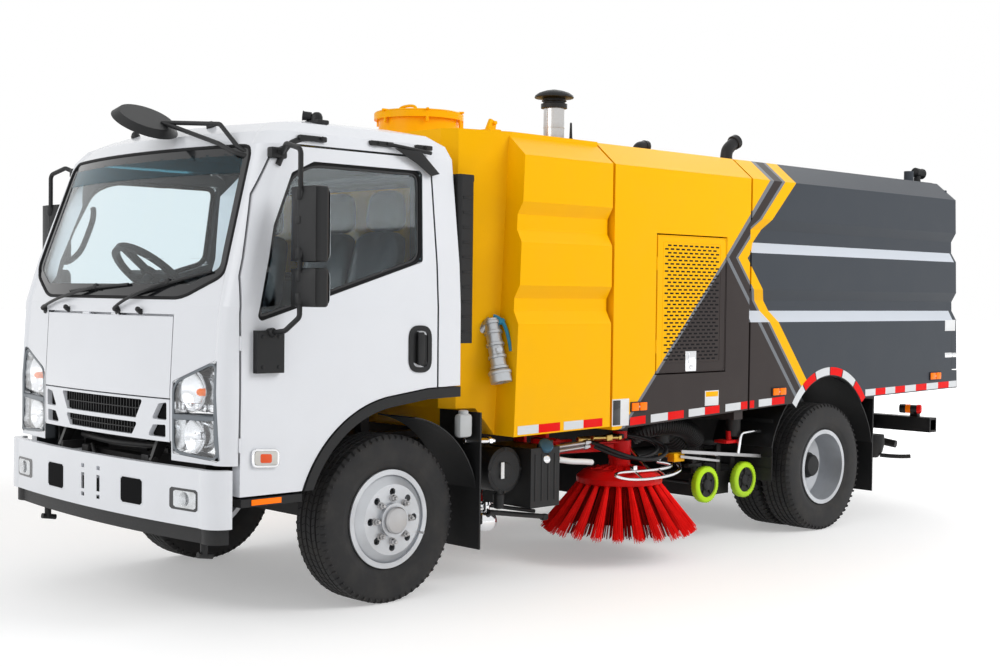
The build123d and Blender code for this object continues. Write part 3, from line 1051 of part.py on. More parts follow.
# columns: place across the wheel from its middle (disc side positive), radius
RIM_PROFILE = (
    (-97.0, 203.0), (-97.0, RIM_RADIUS), (-88.0, RIM_RADIUS), (-88.0, 212.0), (88.0, 212.0), (88.0, RIM_RADIUS),
    (97.0, RIM_RADIUS), (97.0, 203.0), (84.0, 203.0), (119.0, 162.0), (119.0, 60.0), (107.0, 60.0), (107.0, 157.0),
    (68.0, 203.0),
)


def rim(centre_x, y, facing, side):
    """Disc wheel; facing is +1 where its disc is on the side away from the truck's middle."""
    turn = facing * side
    with BuildPart() as wheel:
        with BuildSketch(Plane(origin=(centre_x, along(y), TYRE_RADIUS), x_dir=(1, 0, 0), z_dir=(0, -1, 0))):
            with BuildLine():
                Polyline([(turn * x, r) for x, r in RIM_PROFILE], close=True)
            make_face()
        revolve(axis=Axis((centre_x, along(y), TYRE_RADIUS), (1, 0, 0)))
        with BuildSketch(Plane(origin=(centre_x + turn * 95.0, along(y), TYRE_RADIUS), x_dir=(0, 1, 0),
                               z_dir=(turn, 0, 0))):
            with PolarLocations(128.0, 8):
                Circle(17.0)
        extrude(amount=40.0, mode=Mode.SUBTRACT)
    return wheel.part


def drum(x_from, x_to, y, bore):
    """Brake drum ring."""
    return join(
        rod((x_from, y, TYRE_RADIUS), (x_to, y, TYRE_RADIUS), 165.0),
        cut=[rod((x_from - 50.0, y, TYRE_RADIUS), (x_to + 50.0, y, TYRE_RADIUS), bore)])


front_x, rear_inner_x = FRONT_TRACK_HALF, REAR_OUTER_X - DUAL_SPACING
front_tyre = tyre(front_x, 0.0)
front_rim = join(
    rim(front_x, 0.0, 1, 1), drum(662.0, 735.0, 0.0, 70.0),
    rod((FRONT_HUB_FACE, 0.0, TYRE_RADIUS), (front_x + 140.0, 0.0, TYRE_RADIUS), HUB_RADIUS))
rear_tyres = join(tyre(REAR_OUTER_X, WHEELBASE), tyre(rear_inner_x, WHEELBASE))
rear_rims = join(
    rim(REAR_OUTER_X, WHEELBASE, -1, 1), rim(rear_inner_x, WHEELBASE, 1, 1), drum(575.0, 700.0, WHEELBASE, 70.0),
    rod((REAR_HUB_FACE, WHEELBASE, TYRE_RADIUS), (REAR_OUTER_X - 20.0, WHEELBASE, TYRE_RADIUS), HUB_RADIUS))
fork_top = TYRE_RADIUS + KNUCKLE_HALF_HEIGHT + CONTACT_GAP
fork_bottom = TYRE_RADIUS - KNUCKLE_HALF_HEIGHT - CONTACT_GAP
knuckle = join(
    rod((KINGPIN_X, 0.0, fork_top), (KINGPIN_X, 0.0, fork_top + 24.0), 36.0),
    rod((KINGPIN_X, 0.0, fork_bottom - 24.0), (KINGPIN_X, 0.0, fork_bottom), 36.0),
    block(KINGPIN_X, KINGPIN_X + 52.0, -36.0, 36.0, fork_top, fork_top + 24.0),
    block(KINGPIN_X, KINGPIN_X + 52.0, -36.0, 36.0, fork_bottom - 24.0, fork_bottom),
    block(KINGPIN_X + 38.0, KINGPIN_X + 52.0, -36.0, 36.0, fork_bottom - 24.0, fork_top + 24.0),
    rod((KINGPIN_X + 45.0, 0.0, TYRE_RADIUS), (FRONT_HUB_FACE - CONTACT_GAP, 0.0, TYRE_RADIUS), 44.0),
)
for side_name, place in (("left", lambda shape: shape), ("right", mirrored)):
    keep("front_tyre_" + side_name, place(front_tyre))
    keep("front_rim_" + side_name, place(front_rim))
    keep("rear_tyres_" + side_name, place(rear_tyres))
    keep("rear_rims_" + side_name, place(rear_rims))
    keep("knuckle_" + side_name, place(knuckle))

# ---------------------------------------------------------------- write
os.makedirs("parts", exist_ok=True)
for name, shape in nodes.items():
    export_step(shape, "parts/" + name + ".step")
print(len(nodes), "nodes written")
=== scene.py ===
"""Street sweeper truck: finishes, trim and running gear around the fixed frame, laid out as an add-on."""
import math

import bpy
from bpy.props import FloatProperty, FloatVectorProperty, IntProperty, PointerProperty
from mathutils import Matrix, Vector


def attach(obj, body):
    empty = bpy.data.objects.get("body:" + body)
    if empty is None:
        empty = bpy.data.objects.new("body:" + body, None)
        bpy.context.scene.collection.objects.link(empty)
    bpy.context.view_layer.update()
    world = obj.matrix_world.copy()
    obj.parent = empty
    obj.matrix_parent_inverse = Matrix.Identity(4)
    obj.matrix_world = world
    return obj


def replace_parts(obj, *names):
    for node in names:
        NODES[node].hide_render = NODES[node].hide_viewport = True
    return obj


bl_info = {
    "name": "Street Sweeper Truck",
    "version": (1, 0, 0),
    "blender": (4, 5, 0),
    "location": "3D View > Sidebar > Sweeper",
    "description": "Dresses a street sweeper truck: paint, glass, lamps, tyres, brushes and fittings",
    "category": "Object",
}

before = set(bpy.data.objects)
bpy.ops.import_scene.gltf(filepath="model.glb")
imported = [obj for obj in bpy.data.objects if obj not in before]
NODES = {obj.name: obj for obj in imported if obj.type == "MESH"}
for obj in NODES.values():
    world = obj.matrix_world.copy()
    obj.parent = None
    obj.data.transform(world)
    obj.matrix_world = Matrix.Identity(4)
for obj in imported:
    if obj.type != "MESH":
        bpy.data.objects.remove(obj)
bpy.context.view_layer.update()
FRONT_AXLE = -1.9475
HUB = 388
REAR_AXLE = 3360


# ---------------------------------------------------------------- settings a user would change
def colour_setting(name, description, default):
    return FloatVectorProperty(name=name, description=description, default=default, subtype="COLOR",
                               size=3, min=0.0, max=1.0)


class SWEEPER_PG_colours(bpy.types.PropertyGroup):
    """Colours of the paint, the plastics, the brushes and the rollers."""
    cab: colour_setting("Cab", "Paint of the cab, its doors and the bumper", (0.80, 0.82, 0.86))
    body: colour_setting("Body", "Paint of the water tank and the engine bay", (1.0, 0.50, 0.0))
    slate: colour_setting("Hopper", "Paint of the hopper behind the stripes", (0.054, 0.062, 0.074))
    dark: colour_setting("Dark stripe", "Paint of the triangle and the dark stripes", (0.044, 0.036, 0.035))
    line: colour_setting("Thin stripe", "Paint of the thin stripes", (0.19, 0.205, 0.225))
    silver: colour_setting("Silver strip", "Strips on the hopper's lower chamfers", (0.60, 0.64, 0.70))
    chassis: colour_setting("Chassis", "Paint of the frame and axles", (0.012, 0.012, 0.013))
    plastic: colour_setting("Plastic", "Unpainted plastic of mirrors, trims and guards", (0.012, 0.0125, 0.0135))
    brush: colour_setting("Brush", "Bristles of the side brushes", (0.95, 0.012, 0.010))
    arm: colour_setting("Brush arm", "Paint of the brush arms", (0.70, 0.004, 0.006))
    roller: colour_setting("Roller", "Tyres of the nozzle's rollers", (0.52, 0.86, 0.01))


class SWEEPER_PG_sizes(bpy.types.PropertyGroup):
    """Sizes of the added pieces."""
    tread_depth: FloatProperty(name="Tread depth", description="Depth of the grooves in the tyres", default=0.009,
                               min=0.002, max=0.02, unit="LENGTH")
    seal: FloatProperty(name="Seal", description="Radius of the rubber round the windows", default=0.008,
                        min=0.002, max=0.02, unit="LENGTH")
    tape: FloatProperty(name="Tape height", description="Height of the reflecting tape", default=0.042,
                        min=0.01, max=0.1, unit="LENGTH")
    bristles: IntProperty(name="Bristles", description="Bristles in each tuft of a brush", default=34, min=6,
        max=60)
    wheel_nuts: IntProperty(name="Wheel nuts", description="Nuts on each wheel", default=8, min=5, max=10)


def colours():
    return bpy.context.scene.sweeper_colours


def sizes():
    return bpy.context.scene.sweeper_sizes


# ---------------------------------------------------------------- modelling steps
def at(x, y, z):
    """Point from millimetres: x to the truck's left, y behind the front axle, z above the ground."""
    return Vector((x / 1000.0, FRONT_AXLE + y / 1000.0, z / 1000.0))


def deselect():
    if bpy.context.object and bpy.context.object.mode != "OBJECT":
        bpy.ops.object.mode_set(mode="OBJECT")
    bpy.ops.object.select_all(action="DESELECT")


def pick(piece):
    deselect()
    piece.select_set(True)
    bpy.context.view_layer.objects.active = piece
    return piece


def settle():
    bpy.ops.object.transform_apply(location=True, rotation=True, scale=True)


def edit(piece, mode="VERT"):
    pick(piece)
    bpy.ops.object.mode_set(mode="EDIT")
    bpy.ops.mesh.select_mode(type=mode)
    bpy.ops.mesh.select_all(action="SELECT")


def leave():
    bpy.ops.object.mode_set(mode="OBJECT")


def finished(piece, name, material, body, smooth=35.0):
    """Put the place of a piece into its mesh, name it, coat it and let it ride."""
    pick(merged(piece) if isinstance(piece, list) else piece)
    piece = bpy.context.object
    settle()
    if smooth:
        bpy.ops.object.shade_smooth_by_angle(angle=math.radians(smooth))
    piece.name = name
    piece.data.name = name
    piece.data.materials.clear()
    piece.data.materials.append(material)
    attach(piece, body)
    return piece


def modify(piece, kind, **values):
    pick(piece)
    step = piece.modifiers.new("step", kind)
    for key, value in values.items():
        setattr(step, key, value)
    bpy.ops.object.modifier_apply(modifier=step.name)


def outward(piece):
    edit(piece)
    bpy.ops.mesh.remove_doubles(threshold=1e-6)
    bpy.ops.mesh.normals_make_consistent(inside=False)
    leave()


def block(low, high, edge=3.0, turn=None):
    """Box between two corners in millimetres with rounded edges, turned about its middle."""
    deselect()
    first, last = at(*low), at(*high)
    bpy.ops.mesh.primitive_cube_add(size=1.0, location=(first + last) / 2)
    piece = bpy.context.object
    piece.scale = [abs(value) for value in last - first]
    bpy.ops.object.transform_apply(location=False, rotation=False, scale=True)
    if edge:
        modify(piece, "BEVEL", width=edge / 1000.0, segments=2)
    if turn:
        piece.rotation_euler = [math.radians(value) for value in turn]
    return piece


def aim(piece, origin, direction):
    piece.matrix_world = Matrix.Translation(origin) @ Vector(direction).to_track_quat("Z", "Y").to_matrix().to_4x4()
    return piece


def turned(origin, direction, rings, count=32):
    """Turned piece: rings of (distance along, radius) in millimetres, closed at both ends."""
    deselect()
    start, radius = rings[0]
    bpy.ops.mesh.primitive_circle_add(vertices=count, radius=radius / 1000.0, location=(0, 0, 0),
        fill_type="NOTHING")
    piece = bpy.context.object
    edit(piece)
    bpy.ops.transform.translate(value=(0, 0, start / 1000.0))
    bpy.ops.mesh.edge_face_add()
    bpy.ops.mesh.select_all(action="SELECT")
    place = start
    for along, size in rings[1:]:
        bpy.ops.mesh.extrude_region_move(TRANSFORM_OT_translate={"value": (0, 0, (along - place) / 1000.0)})
        share = max(size, 0.01) / max(radius, 0.01)
        bpy.ops.transform.resize(value=(share, share, 1.0), center_override=(0, 0, along / 1000.0))
        place, radius = along, size
    leave()
    outward(piece)
    return aim(piece, origin, direction)


def outwards(x, y, z, rings, count=32):
    """Turned piece along an axis that points out to the left."""
    return turned(at(x, y, z), (1, 0, 0), rings, count)


def upright(x, y, z, rings, count=32):
    """Turned piece along an axis that points up."""
    return turned(at(x, y, z), (0, 0, 1), rings, count)


def rod(start, end, radius, edge=1.5, count=20):
    """Round bar between two points in millimetres with broken edges."""
    first, last = at(*start), at(*end)
    length = (last - first).length * 1000.0
    return turned(first, last - first,
                  [(0, radius - edge), (edge, radius), (length - edge, radius), (length, radius - edge)], count)


def route(points, smooth=True, closed=False, steps=6):
    """Curve along points in millimetres."""
    deselect()
    bpy.ops.curve.primitive_nurbs_path_add(location=(0, 0, 0))
    piece = bpy.context.object
    piece.data.splines.clear()
    spline = piece.data.splines.new("NURBS" if smooth else "POLY")
    spline.points.add(len(points) - 1)
    for point, place in zip(spline.points, points):
        point.co = (*at(*place), 1.0)
    spline.use_cyclic_u = closed
    if smooth:
        spline.order_u = 3
        spline.use_endpoint_u = not closed
    piece.data.resolution_u = steps
    return piece


def tube(points, radius, smooth=True, count=5, closed=False):
    """Bent tube along points in millimetres, made from a curve."""
    piece = route(points, smooth, closed)
    piece.data.bevel_depth = radius / 1000.0
    piece.data.bevel_resolution = count
    piece.data.use_fill_caps = not closed
    bpy.ops.object.convert(target="MESH")
    return bpy.context.object


def panel(points, depth, edge=0.0):
    """Flat outline in millimetres, given a thickness by the depth vector in millimetres."""
    deselect()
    bpy.ops.mesh.primitive_circle_add(vertices=len(points), radius=1.0, fill_type="NGON", location=(0, 0, 0))
    piece = bpy.context.object
    for vertex, place in zip(piece.data.vertices, points):
        vertex.co = at(*place)
    edit(piece)
    bpy.ops.mesh.extrude_region_move(TRANSFORM_OT_translate={"value": [value / 1000.0 for value in depth]})
    leave()
    outward(piece)
    if edge:
        modify(piece, "BEVEL", width=edge / 1000.0, segments=2)
    return piece


def merged(pieces):
    """Several shapes as one mesh."""
    deselect()
    for piece in pieces:
        piece.select_set(True)
    bpy.context.view_layer.objects.active = pieces[0]
    settle()
    bpy.ops.object.join()
    return bpy.context.object


def flipped(piece):
    """Turn a piece into its mirror image on the other side of the truck."""
    pick(piece)
    settle()
    edit(piece)
    bpy.ops.transform.resize(value=(-1.0, 1.0, 1.0), center_override=(0, 0, 0))
    bpy.ops.mesh.flip_normals()
    leave()
    return piece


def copied(piece):
    pick(piece)
    bpy.ops.object.duplicate(linked=False)
    return bpy.context.object


def hit(node, origin, direction, lift=0.0):
    """Point where a ray in millimetres meets a node, lifted off its surface, in millimetres."""
    start = at(*origin)
    toward = Vector(direction).normalized()
    side = toward.orthogonal().normalized()
    rise = toward.cross(side)
    for reach in (0.0, 0.003, 0.007, 0.012, 0.02, 0.03, 0.045):
        for eighth in range(8 if reach else 1):
            shift = (side * math.cos(eighth * math.pi / 4) + rise * math.sin(eighth * math.pi / 4)) * reach
            found, place, normal, _ = NODES[node].ray_cast(start + shift, toward)
            if found:
                if normal.dot(toward) > 0:
                    normal = -normal
                place = place - shift + normal * (lift / 1000.0)
                return (place.x * 1000.0, (place.y - FRONT_AXLE) * 1000.0, place.z * 1000.0)
    raise RuntimeError("no surface of " + node + " at " + str(origin))


def press(node, across, height, view, lift):
    """Place of two numbers of an outline pressed on a node as seen from a side, in millimetres."""
    direction, start = view
    origin = (across, start, height) if direction[1] else (start, across, height)
    return hit(node, origin, direction, lift)


def draped(node, outline, inner, view, lift):
    """Flat ring between two outlines of (a, z), pressed on a node."""
    count = len(outline)
    rows = []
    for line in (outline, inner):
        rows += [at(*press(node, across, height, view, lift)) for across, height in line]
    mesh = bpy.data.meshes.new("ring")
    faces = [(i, (i + 1) % count, count + (i + 1) % count, count + i) for i in range(count)]
    mesh.from_pydata(rows, [], faces)
    piece = bpy.data.objects.new("ring", mesh)
    bpy.context.scene.collection.objects.link(piece)
    return piece


def rounded(corners, radius, steps=6):
    """Outline with its corners rounded, in the plane of its own two numbers."""
    points = []
    count = len(corners)
    for index in range(count):
        before, corner, after = (Vector(corners[(index + k) % count]) for k in (-1, 0, 1))
        reach = min(radius, (before - corner).length * 0.45, (after - corner).length * 0.45)
        start = corner + (before - corner).normalized() * reach
        end = corner + (after - corner).normalized() * reach
        for step in range(steps + 1):
            share = step / steps
            points.append(tuple(start.lerp(corner, share).lerp(corner.lerp(end, share), share)))
    return points


def divided(outline, longest):
    """Outline with its long edges divided."""
    points = []
    for first, last in zip(outline, outline[1:] + outline[:1]):
        parts = max(1, round((Vector(last) - Vector(first)).length / longest))
        points += [tuple(Vector(first).lerp(Vector(last), k / parts)) for k in range(parts)]
    return points


def shrunk(outline, distance):
    """Outline moved inwards by a distance."""
    count = len(outline)
    turning = sum(a[0] * b[1] - b[0] * a[1] for a, b in zip(outline, outline[1:] + outline[:1]))
    side = 1.0 if turning > 0 else -1.0
    moved = []
    for index in range(count):
        before, here, after = (Vector(outline[(index + k) % count]) for k in (-1, 0, 1))
        run = (after - before).normalized()
        moved.append((here[0] - run[1] * distance * side, here[1] + run[0] * distance * side))
    return moved


# ---------------------------------------------------------------- shader groups and coats
def new_group(name, inputs, outputs):
    group = bpy.data.node_groups.new(name, "ShaderNodeTree")
    for label, kind, value in inputs:
        socket = group.interface.new_socket(name=label, in_out="INPUT", socket_type=kind)
        socket.default_value = value
    for label, kind in outputs:
        group.interface.new_socket(name=label, in_out="OUTPUT", socket_type=kind)
    return group, group.nodes.new("NodeGroupInput"), group.nodes.new("NodeGroupOutput")


class Sheet:
    """Short words for building a node tree."""

    def __init__(self, tree):
        self.tree = tree

    def node(self, kind, **values):
        made = self.tree.nodes.new(kind)
        for key, value in values.items():
            setattr(made, key, value)
        return made

    def put(self, socket, value):
        if isinstance(value, bpy.types.NodeSocket):
            self.tree.links.new(value, socket)
        else:
            socket.default_value = value

    def math(self, operation, first, second=0.0, clamp=False):
        made = self.node("ShaderNodeMath", operation=operation, use_clamp=clamp)
        self.put(made.inputs[0], first)
        self.put(made.inputs[1], second)
        return made.outputs[0]

    def blend(self, share, first, second):
        made = self.node("ShaderNodeMix", data_type="RGBA")
        self.put(made.inputs["Factor"], share)
        self.put(made.inputs[6], first)
        self.put(made.inputs[7], second)
        return made.outputs[2]

    def noise(self, vector, scale, detail=3.0):
        made = self.node("ShaderNodeTexNoise")
        self.put(made.inputs["Vector"], vector)
        self.put(made.inputs["Scale"], scale)
        made.inputs["Detail"].default_value = detail
        return made.outputs["Fac"]

    def spread(self, value, low, high, to_low=0.0, to_high=1.0):
        made = self.node("ShaderNodeMapRange")
        for socket, number in zip(made.inputs[:5], (value, low, high, to_low, to_high)):
            self.put(socket, number)
        return made.outputs[0]

    def place(self):
        return self.node("ShaderNodeTexCoord").outputs["Object"]

    def split(self, vector):
        made = self.node("ShaderNodeSeparateXYZ")
        self.put(made.inputs[0], vector)
        return made.outputs


def wear_group():
    """Dust and rubbed spots, more of them near the road, and a fine grain."""
    if "surface_wear" in bpy.data.node_groups:
        return bpy.data.node_groups["surface_wear"]
    group, given, result = new_group("surface_wear", [("Colour", "NodeSocketColor", (0.5, 0.5, 0.5, 1.0)),
        ("Dust", "NodeSocketColor", (0.2, 0.18, 0.15, 1.0)), ("Amount", "NodeSocketFloat", 0.1),
        ("Road", "NodeSocketFloat", 0.2), ("Scale", "NodeSocketFloat", 6.0), ("Roughness", "NodeSocketFloat", 0.4),
        ("Grain", "NodeSocketFloat", 0.1), ("Grain Scale", "NodeSocketFloat", 400.0)],
        [("Colour", "NodeSocketColor"), ("Roughness", "NodeSocketFloat"), ("Height", "NodeSocketFloat")])
    sheet = Sheet(group)
    place = sheet.place()
    broad = sheet.noise(place, given.outputs["Scale"], 5.0)
    fine = sheet.noise(place, given.outputs["Grain Scale"], 2.0)
    spots = sheet.math("MULTIPLY", sheet.spread(broad, 0.42, 0.75), given.outputs["Amount"])
    split = sheet.split(place)
    low = sheet.math("MULTIPLY", sheet.spread(split["Z"], 1.0, 0.25), sheet.spread(broad, 0.3, 0.7))
    low = sheet.math("MULTIPLY", low, given.outputs["Road"])
    share = sheet.math("ADD", spots, low, clamp=True)
    sheet.put(result.inputs["Colour"], sheet.blend(share, given.outputs["Colour"], given.outputs["Dust"]))
    rough = sheet.math("ADD", given.outputs["Roughness"], sheet.math("MULTIPLY", share, 0.35))
    rough = sheet.math("ADD", rough, sheet.math("MULTIPLY", sheet.math("SUBTRACT", fine, 0.5), 0.08), clamp=True)
    sheet.put(result.inputs["Roughness"], rough)
    sheet.put(result.inputs["Height"], sheet.math("MULTIPLY", fine, given.outputs["Grain"]))
    return group


APEX_Z = 1.644
STRIPES_FROM = FRONT_AXLE + 2.267


def livery_group():
    """Yellow body, dark triangle, chevron stripes, slate hopper and its silver strips."""
    if "side_livery" in bpy.data.node_groups:
        return bpy.data.node_groups["side_livery"]
    names = ("Yellow", "Line", "Dark", "Slate", "Silver")
    group, given, result = new_group(
        "side_livery", [(name, "NodeSocketColor", (0.5, 0.5, 0.5, 1.0)) for name in names],
        [("Colour", "NodeSocketColor")])
    sheet = Sheet(group)
    split = sheet.split(sheet.place())
    along, height = split["Y"], split["Z"]
    above = sheet.math("MINIMUM", sheet.math("SUBTRACT", height, APEX_Z), 0.45)
    up = sheet.math("MAXIMUM", above, 0.0)
    down = sheet.math("MAXIMUM", sheet.math("MULTIPLY", above, -1.0), 0.0)
    run = sheet.math("SUBTRACT", along, STRIPES_FROM)
    upper = sheet.math("DIVIDE", sheet.math("SUBTRACT", run, sheet.math("MULTIPLY", up, 0.905)),
                       sheet.math("ADD", sheet.math("MULTIPLY", up, 0.6), 1.0))
    apex = sheet.math("SUBTRACT", upper, sheet.math("MULTIPLY", down, 0.853))
    slant = sheet.math("ADD", run, sheet.math("MULTIPLY", down, 0.953))

    def after(value, edge):
        return sheet.math("GREATER_THAN", value, edge)

    colour = given.outputs["Yellow"]
    lower = sheet.blend(after(slant, 0.004), given.outputs["Yellow"], given.outputs["Line"])
    lower = sheet.blend(after(slant, 0.030), lower, given.outputs["Dark"])
    colour = sheet.blend(after(down, 0.0005), colour, lower)
    for edge, name in ((0.0, "Line"), (0.031, "Dark"), (0.095, "Line"), (0.117, "Yellow"), (0.203, "Slate")):
        colour = sheet.blend(after(apex, edge), colour, given.outputs[name])
    strips = 0.0
    for low, high in ((1.675, 1.735), (1.280, 1.345)):
        inside = sheet.math("MULTIPLY", after(height, low), sheet.math("LESS_THAN", height, high))
        strips = sheet.math("ADD", strips, inside)
    gate = sheet.math("MULTIPLY", after(along, FRONT_AXLE + 2.504), sheet.math("LESS_THAN", along,
        FRONT_AXLE + 4.8))
    band = sheet.math("MULTIPLY", after(apex, 0.117), sheet.math("LESS_THAN", apex, 0.203))
    strips = sheet.math("MULTIPLY", sheet.math("MULTIPLY", strips, gate), sheet.math("SUBTRACT", 1.0, band))
    sheet.put(result.inputs["Colour"], sheet.blend(strips, colour, given.outputs["Silver"]))
    return group


def rgba(colour):
    return (*colour, 1.0)


def coat(name, colour, roughness=0.45, metallic=0.0, amount=0.08, road=0.15, scale=5.0, grain=0.15,
         grain_scale=500.0, dust=(0.23, 0.21, 0.18), bump=0.25, clear=0.0, painted_glow=None, see=0.0, ior=1.5, base=None,
         shine=0.3):
    """Finish made once by name: a plain shader fed by the shared wear group."""
    name += "_finish"
    if name in bpy.data.materials:
        return bpy.data.materials[name]
    material = bpy.data.materials.new(name)
    material.use_nodes = True
    sheet = Sheet(material.node_tree)
    shader = material.node_tree.nodes["Principled BSDF"]
    wear = sheet.node("ShaderNodeGroup", node_tree=wear_group())
    sheet.put(wear.inputs["Colour"], base(sheet) if base else rgba(colour))
    for label, value in (("Dust", rgba(dust)), ("Amount", amount), ("Road", road), ("Scale", scale),
                         ("Roughness", roughness), ("Grain", grain), ("Grain Scale", grain_scale)):
        wear.inputs[label].default_value = value
    raised = sheet.node("ShaderNodeBump")
    raised.inputs["Strength"].default_value = bump
    raised.inputs["Distance"].default_value = 0.002
    sheet.put(raised.inputs["Height"], wear.outputs["Height"])
    sheet.put(shader.inputs["Base Color"], wear.outputs["Colour"])
    sheet.put(shader.inputs["Roughness"], wear.outputs["Roughness"])
    sheet.put(shader.inputs["Normal"], raised.outputs["Normal"])
    for label, value in (("Metallic", metallic), ("Specular IOR Level", 0.5 if metallic > 0.5 else shine),
            ("Coat Weight", clear), ("Coat Roughness", 0.05), ("Transmission Weight", see), ("IOR", ior)):
        shader.inputs[label].default_value = value
    # Faint emission on unlit lenses and reflectors: painted glow.
    if painted_glow:
        shader.inputs["Emission Color"].default_value = rgba(painted_glow)
        shader.inputs["Emission Strength"].default_value = 0.25
    return material


def livery(sheet):
    """Colour of the side livery for a coat."""
    node = sheet.node("ShaderNodeGroup", node_tree=livery_group())
    shades = colours()
    for label, shade in (("Yellow", shades.body), ("Line", shades.line), ("Dark", shades.dark),
                         ("Slate", shades.slate), ("Silver", shades.silver)):
        node.inputs[label].default_value = rgba(shade)
    return node.outputs["Colour"]


def cab_white():
    return coat("cab_paint", colours().cab, 0.24, amount=0.02, road=0.05, grain=0.02, clear=0.25, bump=0.05,
        shine=0.35)


LINING = (0.085, 0.095, 0.105)


def lined(sheet):
    """Cab colour outside, grey lining inside, and black hinge arms under the grille."""
    facts = sheet.node("ShaderNodeTexCoord")
    away = sheet.node("ShaderNodeVectorMath", operation="SUBTRACT")
    sheet.put(away.inputs[0], facts.outputs["Object"])
    away.inputs[1].default_value = (0.0, FRONT_AXLE - 0.25, 1.40)
    facing = sheet.node("ShaderNodeVectorMath", operation="DOT_PRODUCT")
    sheet.put(facing.inputs[0], away.outputs[0])
    sheet.put(facing.inputs[1], facts.outputs["Normal"])
    split = sheet.split(facts.outputs["Object"])
    inside = sheet.math("LESS_THAN", facing.outputs["Value"], -0.12)
    low = sheet.math("LESS_THAN", split["Z"], 0.786)
    inner = sheet.math("LESS_THAN", sheet.math("ABSOLUTE", split["X"]), 0.57)
    shade = sheet.blend(inside, rgba(colours().cab), rgba(LINING))
    return sheet.blend(sheet.math("MULTIPLY", low, inner), shade, rgba(colours().chassis))


def shell_white():
    return coat("cab_shell_paint", None, 0.24, amount=0.02, road=0.05, grain=0.02, clear=0.25, bump=0.05,
        shine=0.35, base=lined)


def livery_paint():
    return coat("body_livery", None, 0.32, amount=0.02, road=0.06, grain=0.04, bump=0.06, base=livery, shine=0.1)


def yellow():
    return coat("body_yellow", colours().body, 0.32, amount=0.02, road=0.06, grain=0.04, bump=0.06, shine=0.1)


def chassis_black():
    return coat("chassis_black", colours().chassis, 0.5, amount=0.12, road=0.2, grain=0.4, scale=9.0,
        dust=(0.09, 0.08, 0.07))


def moulded():
    return coat("moulded_plastic", colours().plastic, 0.46, amount=0.04, road=0.1, grain=0.7, grain_scale=900.0,
                dust=(0.07, 0.065, 0.06))


def soft_black():
    return coat("soft_rubber", (0.009, 0.009, 0.010), 0.7, amount=0.05, road=0.1, grain=0.5, dust=(0.07, 0.065,
        0.06), shine=0.2)


def hose_black():
    return coat("hose_rubber", (0.011, 0.011, 0.012), 0.42, amount=0.08, road=0.1, grain=0.6, dust=(0.07, 0.065,
        0.06))


def chrome():
    return coat("chrome_plate", (0.82, 0.83, 0.85), 0.12, metallic=1.0, amount=0.06, road=0.1, grain=0.05,
        bump=0.05)


def steel():
    return coat("bare_steel", (0.50, 0.50, 0.51), 0.34, metallic=1.0, amount=0.15, road=0.25, grain=0.3)


def silver_paint():
    return coat("wheel_silver", (0.60, 0.62, 0.65), 0.34, metallic=0.65, amount=0.12, road=0.2, grain=0.15,
                dust=(0.16, 0.15, 0.14))


def cast_alloy():
    return coat("cast_alloy", (0.52, 0.54, 0.56), 0.42, metallic=0.85, amount=0.2, road=0.1, grain=0.6,
        grain_scale=300)


def clear_plastic():
    return coat("lens_clear", (0.96, 0.97, 0.98), 0.04, see=1.0, amount=0.0, road=0.0, grain=0.02, ior=1.45,
        bump=0.02)


def amber():
    # The amber lens coat glows faintly: painted glow, also on the sill reflector.
    return coat("lens_amber", (1.0, 0.19, 0.0), 0.2, amount=0.02, road=0.05, grain=0.3, grain_scale=250.0,
        clear=0.1, painted_glow=(1.0, 0.16, 0.0), shine=0.12)


def red_lens():
    # The red lens coat glows faintly: painted glow.
    return coat("lens_red", (0.75, 0.006, 0.004), 0.15, amount=0.02, road=0.1, grain=0.3, grain_scale=250.0,
        clear=0.1, painted_glow=(0.7, 0.0, 0.0), shine=0.12)


def white_plate():
    return coat("blank_plate", (0.80, 0.81, 0.82), 0.35, amount=0.05, road=0.1, grain=0.05)


def arm_red():
    return coat("arm_paint", colours().arm, 0.34, amount=0.05, road=0.05, grain=0.15, shine=0.16)


def seat_cover():
    return coat("seat_cover", (0.035, 0.042, 0.052), 0.32, amount=0.45, road=0.0, scale=14.0, grain=2.6,
                grain_scale=16.0, dust=(0.10, 0.12, 0.15), bump=0.9, clear=0.15)


# Near-black coat for sheets and blocks set in openings and recesses: painted shade where their insides fall dark.
def recess_shade_black():
    return coat("recess_painted_shade", (0.003, 0.003, 0.0035), 0.8, amount=0.0, road=0.0, shine=0.1)


def brass():
    return coat("brass", (0.62, 0.42, 0.12), 0.3, metallic=1.0, amount=0.1, road=0.1)


def glazing():
    return coat("window_glass", (0.86, 0.935, 0.96), 0.02, see=1.0, amount=0.0, road=0.0, grain=0.01, ior=1.35,
                bump=0.02, shine=0.16)


CAD_COATS = (
    (shell_white, ("cab_shell", "door_left", "door_right")),
    (cab_white, ("front_lid", "grille", "front_bumper")),
    (livery_paint, ("engine_bay", "service_door_left", "service_door_right", "hopper", "tailgate")),
    (yellow, ("water_tank", "manhole_lid")),
    (chassis_black, ("frame", "axles", "leaf_springs", "knuckle_left", "knuckle_right", "hoist_barrel",
                     "suction_nozzle", "drivetrain", "auxiliary_engine")),
    (moulded, ("front_apron", "mudguards", "left_tanks", "right_tanks", "cab_trims", "under_mirror", "mirrors_left",
               "mirrors_right", "steering_wheel", "cab_interior")),
    (soft_black, ("front_tyre_left", "front_tyre_right", "rear_tyres_left", "rear_tyres_right", "suction_pipe",
                  "nozzle_wheels_front", "nozzle_wheels_rear")),
    (silver_paint, ("front_rim_left", "front_rim_right", "rear_rims_left", "rear_rims_right")),
    (chrome, ("hoist_rod", "exhaust_stack", "headlamps")),
    (cast_alloy, ("hydrant_coupling",)),
    (arm_red, ("brush_carriage_left", "brush_carriage_right", "brush_arm_left", "brush_arm_right", "brush_left",
               "brush_right")),
    (glazing, ("cab_glass", "door_glass_left", "door_glass_right")),
)


